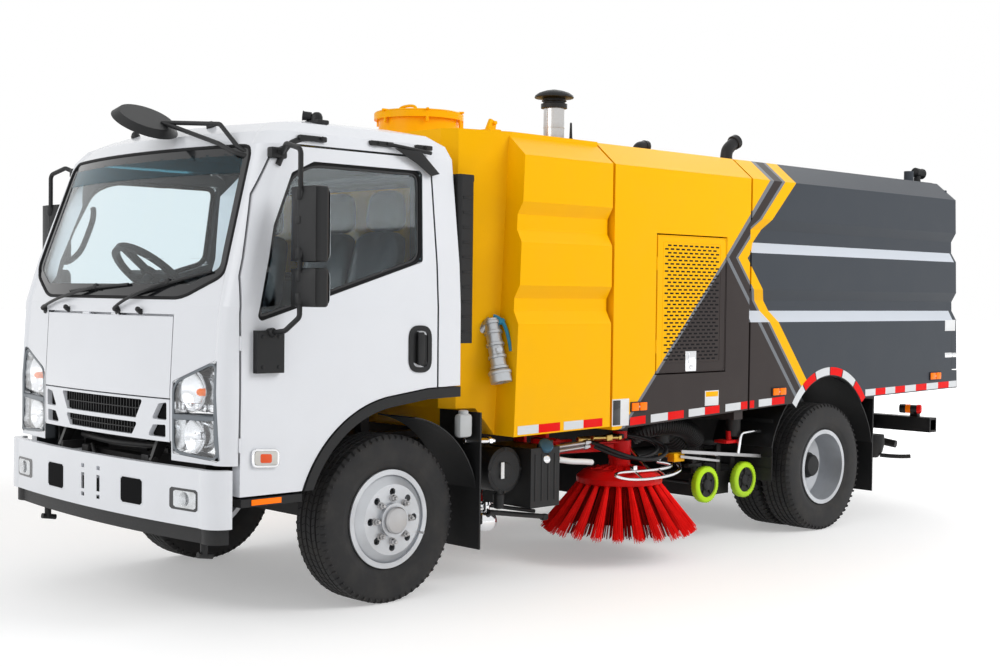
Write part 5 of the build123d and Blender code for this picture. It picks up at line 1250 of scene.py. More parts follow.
def tyre_shape(x, y):
    """Tyre with four grooves, ribbed shoulders and raised rings on its walls."""
    depth = sizes().tread_depth * 1000.0
    top = 387.6
    wall = [(-86, 214), (-86, 231), (-92, 238), (-99, 252), (-103, 266), (-104, 268), (-105.5, 274), (-107, 300),
            (-107, 318), (-105.5, 340), (-103, 356), (-98, 371), (-91, 381)]
    tread = [(-86, top - 1)]
    for groove in (-52, -18, 18, 52):
        tread += [(groove - 5.5, top - 0.2), (groove - 3.5, top - depth), (groove + 3.5, top - depth),
                  (groove + 5.5, top - 0.2)]
    tread.append((86, top - 1))
    profile = wall + tread + [(-a, r) for a, r in reversed(wall)]
    body = hoop(x, y, HUB, profile, 96)
    lug = block((x + 82, y - 5, HUB + 366), (x + 104.5, y + 5, HUB + 383), 1.5, (0, 34, 0))
    lugs = around(lug, 64, (x, y, HUB), (1, 0, 0))
    other = block((x - 104.5, y - 5, HUB + 366), (x - 82, y + 5, HUB + 383), 1.5, (0, -34, 0))
    others = around(other, 64, (x, y, HUB), (1, 0, 0))
    # Thin bars across the tread; they take a near-black coat as painted shade of the sipe cuts.
    sipes = []
    for centre in (-69, -35, 0, 35, 69):
        bar = block((x + centre - 12, y - 1.4, HUB + top - 0.5), (x + centre + 12, y + 1.4, HUB + top + 0.3), 0,
                    (0, 0, 24 if centre else -24))
        sipes.append(around(bar, 72, (x, y, HUB), (1, 0, 0)))
    return merged([body, lugs, others]), merged(sipes)


class SWEEPER_OT_tyres(bpy.types.Operator):
    """Add the tyres with their grooves and ribs"""
    bl_idname = "sweeper.tyres"
    bl_label = "Tyres"

    def execute(self, context):
        rubber = coat("tyre_rubber", (0.022, 0.022, 0.023), 0.62, amount=0.35, road=0.1, grain=0.5, scale=11.0,
                      dust=(0.075, 0.07, 0.065))
        # Near-black coat on the sipe bars: painted shade in the cuts of the tread.
        dark = coat("tyre_sipe_shade", (0.004, 0.004, 0.004), 0.9, amount=0.0, road=0.0)
        for name, node, places in (("front", "front_tyre_", ((736, 0),)), ("rear", "rear_tyres_", ((846, REAR_AXLE),
                (608, REAR_AXLE)))):
            shapes = [tyre_shape(x, y) for x, y in places]
            right = both([shape for shape, _ in shapes], name + "_rubber", rubber, "wheel_%s_{}" % name,
                         40)
            both([sipes for _, sipes in shapes], name + "_sipes", dark, "wheel_%s_{}" % name, 0)
            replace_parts(right, node + "right")
            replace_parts(bpy.data.objects[name + "_rubber_left"], node + "left")
        return {"FINISHED"}


class SWEEPER_OT_wheel_fittings(bpy.types.Operator):
    """Add the wheel nuts, caps, valves and brake chambers"""
    bl_idname = "sweeper.wheel_fittings"
    bl_label = "Wheel nuts and caps"

    def execute(self, context):
        count = sizes().wheel_nuts
        nut_coat = steel()

        def nuts(face, y, radius):
            washer = outwards(face, y, HUB + radius, [(-2, 18), (3, 18), (4, 14)], 20)
            nut = outwards(face, y, HUB + radius, [(3, 15), (18, 15), (21, 12)], 6)
            stud = outwards(face, y, HUB + radius, [(19, 8), (32, 8), (34, 6)], 12)
            return around(merged([washer, nut, stud]), count, (736, y, HUB), (1, 0, 0))

        front = [nuts(855.5, 0, 100), outwards(876, 0, HUB, [(-4, 60), (0, 62), (12, 62), (20, 56), (24, 40),
            (25, 5)], 40), rod((846, 150, HUB - 70), (884, 168, HUB - 76), 5.0)]
        both(front, "front_nuts", nut_coat, "wheel_front_{}")
        cap = outwards(818, REAR_AXLE, HUB, [(0, 76), (6, 79), (14, 79), (22, 70), (44, 66), (52, 58), (56, 20)],
            40)
        flange = outwards(737, REAR_AXLE, HUB, [(0, 148), (4, 150), (10, 150), (14, 140), (16, 84)], 48)
        both(nuts(738, REAR_AXLE, 116), "rear_nuts", nut_coat, "wheel_rear_{}")
        both([cap, around(outwards(842, REAR_AXLE, HUB + 52, [(0, 8), (22, 8), (24, 6)], 6), 8, (800, REAR_AXLE,
            HUB), (1, 0, 0))], "rear_hub", moulded(), "wheel_rear_{}")
        both(flange, "rear_flange", silver_paint(), "wheel_rear_{}")
        chamber = [turned(at(470, 3240, 470), (0, -1, 0.1), [(0, 70), (14, 78), (20, 82), (26, 78), (70, 74),
            (92, 50), (96, 20)], 32), turned(at(470, 3480, 430), (0, 1, 0), [(0, 30), (60, 30), (64, 24)], 24)]
        both(chamber, "brake_chamber", chassis_black(), "chassis")
        return {"FINISHED"}


# ---------------------------------------------------------------- side brushes
GOLDEN_ANGLE, TUFTS = 2.39996, 22


class SWEEPER_OT_brushes(bpy.types.Operator):
    """Add the side brushes with their tufts of bristles"""
    bl_idname = "sweeper.brushes"
    bl_label = "Side brushes"

    def execute(self, context):
        red = coat("brush_bristle", colours().brush, 0.5, amount=0.3, road=0.05, grain=0.9, scale=26.0,
                   grain_scale=90.0, dust=(0.55, 0.004, 0.003), shine=0.08)
        disc_red = coat("brush_disc", (0.72, 0.004, 0.004), 0.4, amount=0.1, road=0.0, grain=0.3, shine=0.12)
        centre = (740, 1695, 0)
        middle = at(*centre)

        def tuft(count, ends, thick, thin, turn):
            """Bristles spread evenly between a tuft's two ends, turned about the brush's axis in degrees."""
            strands = []
            for index in range(count):
                angle, spread = index * GOLDEN_ANGLE, math.sqrt((index + 0.5) / count)
                root, tip = (Vector(end) for end in ends(index, spread * math.cos(angle), spread * math.sin(angle)))
                bpy.ops.mesh.primitive_cone_add(vertices=4, radius1=thick, radius2=thin, depth=(tip - root).length,
                                                location=(0, 0, 0))
                strand = bpy.context.object
                strand.matrix_world = Matrix.Translation(middle) @ Matrix.Rotation(math.radians(turn), 4,
                    "Z") @ (Matrix.Translation((root + tip) / 2) @ (tip - root).to_track_quat("Z",
                    "Y").to_matrix().to_4x4())
                strands.append(strand)
            return around(merged(strands), TUFTS, centre, (0, 0, 1))

        def outer(index, side, lift):
            return ((0.204 + lift * 0.008, side * 0.009, 0.424 + lift * 0.004), (0.404 + lift * 0.024,
                side * (0.031 + 0.004 * math.cos(index)), 0.155 + lift * 0.018 - 0.004 * math.sin(index * 5.0)))

        def inner(index, side, lift):
            return (0.166, side * 0.014, 0.440), (0.330 + lift * 0.03, side * 0.045, 0.160 + lift * 0.02)

        socket = turned(middle + Vector((0.204, 0, 0.428)), (0.6, 0, -0.8), [(-6, 14), (0, 16), (26, 17), (28, 15)],
            16)
        tufts = tuft(sizes().bristles, outer, 0.0034, 0.0015, 0.0)
        behind = tuft(14, inner, 0.006, 0.003, 8.2)
        core = turned(middle, (0, 0, 1), [(430, 170), (300, 225), (215, 268), (211, 262), (300, 214), (425, 160)],
            48)
        sockets = around(socket, TUFTS, centre, (0, 0, 1))
        disc = turned(middle, (0, 0, 1), [(412, 226), (416, 233), (442, 234), (448, 229), (476, 196), (482, 180),
                                          (486, 96), (496, 90), (504, 60), (539, 58)], 64)
        ribs = around(block((800, 1691, 474), (920, 1699, 492), 2.0, (0, 14, 0)), 12, centre, (0, 0, 1))
        bolts = around(turned(at(740 + 158, 1695, 480), (0.1, 0, 1), [(0, 9), (8, 9), (10, 7)], 6), 6, centre,
                       (0, 0, 1))
        # A darker copy of the bristle red for the inner row: painted shade on the tufts behind the outer ones. The
        # core cone's near-black red is painted shadow between the tufts.
        shaded_bristle = coat("brush_bristle_inner", (0.30, 0.003, 0.002), 0.6, amount=0.4, road=0.1, grain=0.9, scale=26.0,
                    grain_scale=90.0, dust=(0.08, 0.002, 0.001), shine=0.1)
        both(behind, "brush_back_row", shaded_bristle, "brush_{}", 0)
        both(core, "brush_core", coat("brush_shadow", (0.025, 0.001, 0.001), 0.8, amount=0.2, road=0.0, shine=0.05),
             "brush_{}")
        right = both(tufts, "brush_bristles", red, "brush_{}", 0)
        both([disc, ribs, bolts, sockets], "brush_disc", disc_red, "brush_{}")
        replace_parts(right, "brush_right")
        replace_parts(bpy.data.objects["brush_bristles_left"], "brush_left")
        return {"FINISHED"}


class SWEEPER_OT_brush_gear(bpy.types.Operator):
    """Add the brush arms' motors, guards, springs, braces and racks"""
    bl_idname = "sweeper.brush_gear"
    bl_label = "Brush arm gear"

    def execute(self, context):
        motor = [upright(740, 1695, 688, [(0, 38), (4, 44), (20, 44), (24, 36)], 6), block((700, 1640, 650),
            (780, 1690, 676), 6.0), around(upright(740 + 50, 1695, 641, [(0, 9), (7, 9), (9, 6)], 6), 4,
            (740, 1695, 0), (0, 0, 1))]
        both(motor, "brush_motor", chassis_black(), "brush_arm_{}")
        ring = [(905, 1993, 502), (940, 1990, 478), (972, 1888, 462), (990, 1760, 456), (994, 1632, 454),
            (990, 1501, 462), (976, 1441, 474), (950, 1422, 486), (930, 1458, 494), (925, 1540, 494),
            (930, 1629, 490), (930, 1806, 489), (905, 1952, 492), (880, 1939, 506), (840, 1890, 516)]
        guard = [tube(ring, 8.5, count=4), rod((992, 1600, 455), (930, 1604, 490), 6.0), rod((984, 1800, 457),
            (930, 1796, 489), 6.0), tube([(928, 1720, 490), (870, 1726, 530), (770, 1730, 610)], 9.0),
            block((900, 1596, 486), (928, 1626, 522), 4.0)]
        both(guard, "brush_guard", chrome(), "brush_arm_{}")
        brace = [block((655, 1300, 622), (745, 1330, 634), 3.0), panel([(668, 1330, 628), (700, 1320, 628),
            (776, 1640, 628), (722, 1668, 628)], (0, 0, 9), 2.0), block((716, 1600, 630), (764, 1650, 652), 4.0)]
        both(brace, "brush_brace", arm_red(), "brush_arm_{}")
        spring = turned(at(700, 1400, 655), (0.25, 1, 0.02), [(0, 13), (5, 16), (150, 16), (155, 10), (210, 9)], 24)
        both(spring, "brush_ram", brass(), "brush_arm_{}")
        rack = [block((436, 1200, 672), (660, 1226, 700), 3.0), block((636, 1190, 640), (664, 1400, 654), 3.0),
            block((560, 1060, 655), (640, 1080, 712), 3.0), block((600, 1070, 690), (624, 1210, 704), 3.0)]
        both(rack, "brush_rack", arm_red(), "chassis")
        return {"FINISHED"}


# ---------------------------------------------------------------- body fittings
def strip_piece(y_from, z_from, y_to, z_to, height, depth=0.8, x=1000.3):
    """Slanted strip on the body's side, from one low corner to the next."""
    return panel([(x, y_from, z_from), (x, y_to, z_to), (x, y_to, z_to + height), (x, y_from, z_from + height)],
                 (depth, 0, 0))


def tape_line(y):
    """Height of the body's lower edge at a distance behind the front axle."""
    for first, last in (((629, 741), (1319, 752)), ((1319, 736), (2500, 784)), ((2500, 784), (2937, 800)),
                        ((2937, 800), (3711, 804)), ((3711, 804), (4870, 823))):
        if y <= last[0]:
            return first[1] + (last[1] - first[1]) * (y - first[0]) / (last[0] - first[0])
    return 823.0


WHITE_TAPE = {"chassis": ((655, 798), (977, 1119), (1643, 1783), (1961, 2101), (2287, 2427)),
              "hopper": ((2599, 2725), (3722, 3839), (3958, 4074), (4196, 4330), (4467, 4616), (4758, 4862))}
RED_TAPE = {"chassis": ((800, 950), (1121, 1262), (1477, 1600), (1785, 1918), (2103, 2232), (2429, 2490)),
            "hopper": ((2514, 2554), (2727, 2852), (3839, 3958), (4074, 4196), (4330, 4467), (4616, 4758))}

REAR_TAPE = {"white": (1, 3, 9, 11), "red": (0, 2, 8, 10)}


def tape_coat(name, colour):
    return coat(name, colour, 0.25, amount=0.05, road=0.1, grain=1.2, grain_scale=160.0, shine=0.06)


def arch_strip(start, end, inner, outer, depth, x):
    """Piece of the band round the rear arch between two angles in degrees."""
    grid = []
    for step in range(9):
        angle = math.radians(start + (end - start) * step / 8)
        grid.append([at(x, 3326 + radius * math.sin(angle), 515 + radius * math.cos(angle)) for radius in (inner,
            outer)])
    return sheet_of(grid, depth)


class SWEEPER_OT_tape(bpy.types.Operator):
    """Add the red and white reflecting tape and the lip of the rear arch"""
    bl_idname = "sweeper.tape"
    bl_label = "Reflecting tape"

    def execute(self, context):
        height = sizes().tape * 1000.0
        both(arch_strip(-54, 54, 436, 492, 30.0, 984), "arch_lip", moulded(), "hopper")
        shades = (("white", tape_coat("tape_white", (0.72, 0.74, 0.76)), WHITE_TAPE, ((-54, -37), (-19, -1),
            (17, 35))), ("red", tape_coat("tape_red", (0.85, 0.008, 0.008)), RED_TAPE, ((-36, -20), (0, 16),
            (36, 54))))
        for shade, material, rows, arcs in shades:
            for body, places in rows.items():
                strips = [strip_piece(a, tape_line(a) + 6, b, tape_line(b) + 6, height) for a, b in places]
                if body == "hopper":
                    strips += [arch_strip(a, b, 440, 488, 1.0, 1000.9) for a, b in arcs]
                both(strips, "tape_%s_%s" % (shade, body), material, body, 0)
        for shade, material, _, _ in reversed(shades):
            strips = []
            for step in REAR_TAPE[shade]:
                left, right = -926 + 155 * step, -779 + 155 * step
                strips.append(panel([(left, 4866.2, 880), (right, 4866.2, 880), (right, 4863.8, 925),
                                     (left, 4863.8, 925)], (0, 1.4, 0)))
            finished(strips, "tape_%s_rear" % shade, material, "hopper", 0)
        return {"FINISHED"}


class SWEEPER_OT_side_lamps(bpy.types.Operator):
    """Add the side lamps, the blank plates and their screws"""
    bl_idname = "sweeper.side_lamps"
    bl_label = "Side lamps and plates"

    def execute(self, context):
        for owner, label, (y_low, z_low, y_high, z_high) in (("chassis", "chassis", (1476, 819, 1604, 871)),
                ("hopper", "hopper", (2723, 850, 2857, 900)), ("hopper", "hopper_rear", (4500, 884, 4640, 938))):
            half = (y_high - y_low) / 2
            base = block((999, y_low, z_low), (1007, y_high, z_high), 2.5)
            lenses = merged([block((1005, y_low + 5 + half * k, z_low + 5),
                                   (1013, y_low + half * (k + 1) - 4, z_high - 5), 3.0) for k in range(2)])
            screw = turned(at(1006, y_low + half, (z_low + z_high) / 2), (1, 0, 0), [(0, 5), (5, 5), (6, 3)], 12)
            for kind, piece, material in (("base", base, moulded()), ("lens", lenses, amber()), ("screw", screw,
                    steel())):
                both(piece, "side_lamp_%s_%s" % (kind, label), material, owner)
        plate = white_plate()
        both([block((999, 1335, 750), (1002.2, 1466, 890), 3.0), block((999, 2100, 822), (1002.2, 2222, 905), 3.0)],
             "blank_plates", plate, "chassis")
        both(block((1001.5, 1340, 756), (1002.9, 1398, 884), 2.0), "plate_dark_half", frit_black(), "chassis")
        both(block((1001.5, 2106, 872), (1002.9, 2216, 900), 2.0), "plate_yellow_band", yellow(), "chassis")
        both(block((999, 4693, 1210), (1002.0, 4830, 1284), 3.0), "rear_plate", plate, "hopper")
        return {"FINISHED"}


class SWEEPER_OT_service_door(bpy.types.Operator):
    """Add the slots as near-black blocks of painted shade, the raised rim and the latch of the service doors"""
    bl_idname = "sweeper.service_door"
    bl_label = "Service door"

    def execute(self, context):
        # Near-black coat for the slot blocks: painted shade inside the slots.
        dark = coat("slot_painted_shade", (0.004, 0.004, 0.005), 0.9, amount=0.0, road=0.0)
        rows = []
        for shift in (0, 1):
            slot = block((999.4, 1741 + 23 * shift, 1079 + 19.7 * shift), (1000.5, 1771 + 23 * shift,
                1088 + 19.7 * shift), 0)
            modify(slot, "BEVEL", width=0.0038, segments=3, affect="EDGES", limit_method="ANGLE")
            rows.append(repeated(repeated(slot, 10, (0, 46.0, 0)), 16, (0, 0, 39.4)))
        both(rows, "door_slots", dark, "service_door_{}", 0)
        line = rounded([(1682, 1015), (2270, 1015), (2270, 1745), (1682, 1745)], 26.0)
        rim = tube([(1000.0, y, z) for y, z in line], 3.0, smooth=False, count=3, closed=True)
        inner = rounded([(1728, 1066), (2222, 1066), (2222, 1712), (1728, 1712)], 16.0)
        edge = tube([(1000.0, y, z) for y, z in inner], 1.8, smooth=False, count=3, closed=True)
        both([rim, edge], "service_door_rim", livery_paint(), "service_door_{}")
        latch = [block((999, 1924, 1017), (1005, 2015, 1127), 4.0), block((1004, 1944, 1060), (1012, 1994, 1118),
            5.0), outwards(1004, 1969, 1040, [(0, 13), (5, 13), (7, 9)], 20)]
        both(latch, "service_latch", chrome(), "service_door_{}")
        return {"FINISHED"}


class SWEEPER_OT_tank_fittings(bpy.types.Operator):
    """Add the hydrant lever, the manhole clamps and the roof latch"""
    bl_idname = "sweeper.tank_fittings"
    bl_label = "Tank fittings"

    def execute(self, context):
        blue = coat("lever_blue", (0.02, 0.22, 0.36), 0.35, amount=0.15, road=0.1, grain=0.2)
        lever = [tube([(880, 600, 1318), (905, 622, 1312), (942, 640, 1240), (955, 648, 1150)], 9.0),
                        turned(at(900, 614, 1290), (0.4, 1, 0.1), [(0, 16), (26, 16), (32, 10)], 20)]
        finished(lever, "hydrant_lever", blue, "chassis")
        rings = []
        for share in (0.06, 0.22, 0.42, 0.62, 0.80):
            place = at(862, 601, 1300).lerp(at(950, 590, 1010), share)
            rings.append(turned(place, at(950, 590, 1010) - at(862, 601, 1300),
                                [(-9, 40), (-6, 45), (6, 45), (9, 40)], 32))
        rings.append(turned(at(938, 591, 1050), (14, -1, -50), [(-8, 50), (0, 57), (10, 57), (14, 52)], 32))
        rings.append(rod((905, 600, 1170), (960, 560, 1160), 9.0))
        rings.append(turned(at(960, 560, 1160), (0.8, -0.6, 0), [(0, 16), (10, 18), (16, 10)], 20))
        finished(rings, "hydrant_collars", cast_alloy(), "chassis")
        clamps = []
        for k in range(6):
            angle = math.radians(60 * k + 30)
            x, y = 232 * math.cos(angle), 870 + 232 * math.sin(angle)
            clamps.append(upright(x, y, 2322, [(0, 9), (50, 9), (54, 6)], 12))
            clamps.append(block((x - 22, y - 7, 2380), (x + 22, y + 7, 2392), 4.0, (0, 0, math.degrees(angle))))
        finished(clamps, "manhole_clamps", yellow(), "chassis")
        lid = [upright(0, 870, 2378, [(0, 236), (4, 239), (10, 232), (18, 150), (20, 148), (20, 20)], 48),
                      tube([(-70, 790, 2396), (-70, 790, 2420), (70, 790, 2420), (70, 790, 2396)], 8.0)]
        finished(lid, "manhole_cover", yellow(), "manhole_lid")
        latch = [block((770, 592, 2208), (850, 668, 2222), 3.0), panel([(800, 600, 2218), (800, 660, 2218),
            (800, 668, 2262), (800, 628, 2276)], (18, 0, 0), 3.0), rod((790, 650, 2256), (832, 650, 2256), 9.0)]
        both(latch, "lifting_eye", yellow(), "chassis")
        welds = [tube([(-858, y, 2213), (858, y, 2213)], 4.0, smooth=False, count=2) for y in (TANK_SEAM, 1326)]
        finished(welds, "roof_seams", yellow(), "chassis")
        return {"FINISHED"}


TANK_SEAM = 690


class SWEEPER_OT_stack(bpy.types.Operator):
    """Add the exhaust stack with its cap, the roof elbow and the aerial"""
    bl_idname = "sweeper.stack"
    bl_label = "Exhaust stack"

    def execute(self, context):
        heated = coat("stack_steel", (0.56, 0.55, 0.54), 0.26, metallic=1.0, amount=0.5, road=0.0, grain=0.3,
            scale=9.0, dust=(0.20, 0.17, 0.14))
        pipe = upright(400, 1500, 2213, [(0, 84), (9, 85), (12, 82), (13, 57), (120, 57), (121, 59),
                                                       (124, 59), (125, 57), (232, 57)], 48)
        seam = block((398, 1440, 2226), (402, 1444, 2440), 1.0)
        right = finished([pipe, seam], "stack_pipe", heated, "chassis")
        fins = upright(400, 1500, 2440, [(0, 64), (2, 72), (26, 72), (28, 64), (32, 60), (36, 60), (40, 68),
            (44, 68), (48, 60), (52, 60), (58, 106), (62, 108), (72, 104), (86, 84), (97, 52), (105, 12)], 48)
        finished(fins, "stack_cap", moulded(), "chassis")
        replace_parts(right, "exhaust_stack")
        elbow = [upright(400, 2200, 2210, [(0, 46), (8, 46), (10, 36), (30, 36)], 32),
            tube([(400, 2200, 2220), (400, 2200, 2262), (400, 2215, 2292), (400, 2262, 2296)], 32.0),
            turned(at(400, 2256, 2296), (0, 1, 0.02), [(0, 30), (2, 35), (28, 35), (30, 27), (22, 25)], 32)]
        finished(elbow, "roof_elbow", hose_black(), "chassis")
        aerial = upright(330, 1711, 2210, [(0, 26), (12, 24), (40, 16), (90, 12), (96, 9), (176, 6), (180, 3)], 20)
        finished(aerial, "roof_aerial", moulded(), "chassis")
        vent = [upright(700, 2650, 2200, [(0, 50), (12, 50), (14, 38), (40, 38)], 32),
            tube([(700, 2650, 2210), (700, 2650, 2262), (700, 2672, 2302), (700, 2730, 2336)], 36.0),
            turned(at(700, 2716, 2330), (0, 1, 0.42), [(0, 38), (4, 43), (34, 43), (38, 36), (24, 30)], 32)]
        finished(vent, "hopper_vent", hose_black(), "hopper")
        camera = [upright(760, 4710, 2205, [(0, 40), (8, 40), (10, 24), (60, 22)], 28), turned(at(760, 4720, 2284),
            (0.1, 1, -0.1), [(-40, 26), (-36, 32), (30, 32), (36, 36), (46, 36), (44, 28)], 28)]
        finished(camera, "rear_camera", moulded(), "hopper")
        return {"FINISHED"}


# ---------------------------------------------------------------- under the body
def ribbed_hose(points, radius, pitch, tall):
    """Corrugated hose along points in millimetres."""
    core = tube(points, radius, count=6)
    route(points, steps=24)
    bpy.ops.object.convert(target="MESH")
    path = [vertex.co.copy() for vertex in bpy.context.object.data.vertices]
    bpy.data.objects.remove(bpy.context.object)
    rings, gone = [core], 0.0
    for first, last in zip(path, path[1:]):
        gone += (last - first).length * 1000.0
        if gone >= pitch:
            gone = 0.0
            bpy.ops.mesh.primitive_torus_add(major_radius=radius / 1000.0, minor_radius=tall / 1000.0,
                major_segments=28, minor_segments=6, location=(0, 0, 0))
            rings.append(aim(bpy.context.object, first, last - first))
    return merged(rings)


class SWEEPER_OT_suction(bpy.types.Operator):
    """Add the ribbed suction hose, the nozzle's rollers, rails and brackets"""
    bl_idname = "sweeper.suction"
    bl_label = "Suction nozzle"

    def execute(self, context):
        hose = ribbed_hose([(620, 2240, 858), (620, 2240, 720), (615, 2260, 620), (590, 2480, 540),
            (572, 2548, 500), (570, 2550, 414)], 68.0, 17.0, 7.0)
        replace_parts(finished(hose, "suction_hose", hose_black(), "chassis"), "suction_pipe")
        drain = ribbed_hose([(640, 1900, 640), (700, 1960, 690), (730, 2060, 700), (730, 2200, 690),
            (720, 2330, 650), (700, 2400, 590)], 52.0, 15.0, 6.0)
        both(drain, "drain_hose", hose_black(), "chassis")
        bracket = [block((378, 2228, 682), (552, 2252, 718), 4.0),
                          upright(620, 2240, 800, [(0, 76), (3, 80), (27, 80), (30, 76)], 40)]
        finished(bracket, "suction_clamp", chassis_black(), "chassis")
        green = coat("roller_green", colours().roller, 0.5, amount=0.1, road=0.1, grain=0.5)
        hub_coat = moulded()
        for name, y in (("front", 2370), ("rear", 2733)):
            tyre_rings = [(777, 74), (777, 92), (781, 100), (788, 104.5), (812, 104.5), (819, 100), (823, 92),
                (823, 74), (816, 72), (784, 72)]
            ring = hoop(0, y, 347, tyre_rings, 48)
            grips = around(block((782, y - 2.5, 347 + 99), (818, y + 2.5, 347 + 104.8), 1.0), 36, (800, y, 347),
                (1, 0, 0))
            pair = merged([ring, grips])
            pair = merged([pair, flipped(copied(pair))])
            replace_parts(finished(pair, "roller_tyres_" + name, green, "nozzle_wheels_" + name),
                        "nozzle_wheels_" + name)
            hub = merged([outwards(780, y, 347, [(0, 78), (2, 79), (36, 79), (38, 76), (34, 70), (30, 60), (29, 36),
                (40, 32), (44, 26), (45, 4)], 48), around(outwards(806, y, 347 + 50, [(0, 8), (12, 8), (14, 5)], 6),
                5, (800, y, 347), (1, 0, 0)), around(block((806, y - 5, 347 + 32), (816, y + 5, 347 + 68), 2.0), 5,
                (800, y, 347), (1, 0, 0))])
            hub = merged([hub, flipped(copied(hub)), rod((-790, y, 347), (790, y, 347), 11.6)])
            finished(hub, "roller_hubs_" + name, hub_coat, "nozzle_wheels_" + name)
        rail = [panel([(846, 2086, 548), (846, 2829, 473), (846, 2829, 493), (846, 2086, 568)], (10, 0, 0), 2.0),
            panel([(842, 2086, 522), (842, 2441, 474), (842, 2441, 488), (842, 2086, 538)], (8, 0, 0), 2.0),
            panel([(742, 2620, 498), (846, 2620, 500), (846, 2650, 498), (742, 2650, 496)], (0, 0, 8), 2.0),
            panel([(742, 2400, 512), (846, 2400, 512), (846, 2430, 510), (742, 2430, 510)], (0, 0, 8), 2.0)]
        both(rail, "nozzle_rail", steel(), "suction_nozzle")
        handle = tube([(846, 2616, 510), (850, 2624, 570), (850, 2634, 622), (850, 2665, 634), (850, 2825, 632)],
            11.0)
        both(handle, "nozzle_handle", chrome(), "suction_nozzle")
        plates = [block((700, 2300, 440), (736, 2420, 462), 4.0), block((724, 2560, 392), (736, 2600, 560), 4.0),
            block((712, 2350, 400), (724, 2390, 500), 4.0), block((712, 2713, 330), (724, 2753, 470), 4.0)]
        both(plates, "nozzle_arms", chassis_black(), "suction_nozzle")
        both([block((786, 2046, 500), (836, 2138, 548), 5.0), block((700, 2070, 520), (790, 2100, 536), 3.0)],
             "nozzle_stop", yellow(), "chassis")
        both([upright(660, 2130, 590, [(0, 50), (4, 56), (150, 56), (154, 50)], 32),
                     block((378, 2115, 700), (640, 2145, 730), 4.0)], "nozzle_cylinder", moulded(), "chassis")
        both([upright(790, 2640, 606, [(0, 38), (4, 44), (120, 44), (128, 50), (160, 50), (164, 44)], 28),
                     block((378, 2620, 700), (760, 2660, 726), 4.0)], "rail_post", chassis_black(), "chassis")
        both([block((745, 2520, 572), (835, 2640, 590), 4.0), rod((790, 2600, 584), (790, 2600, 640), 16.0)],
            "rail_stop", arm_red(), "chassis")
        return {"FINISHED"}


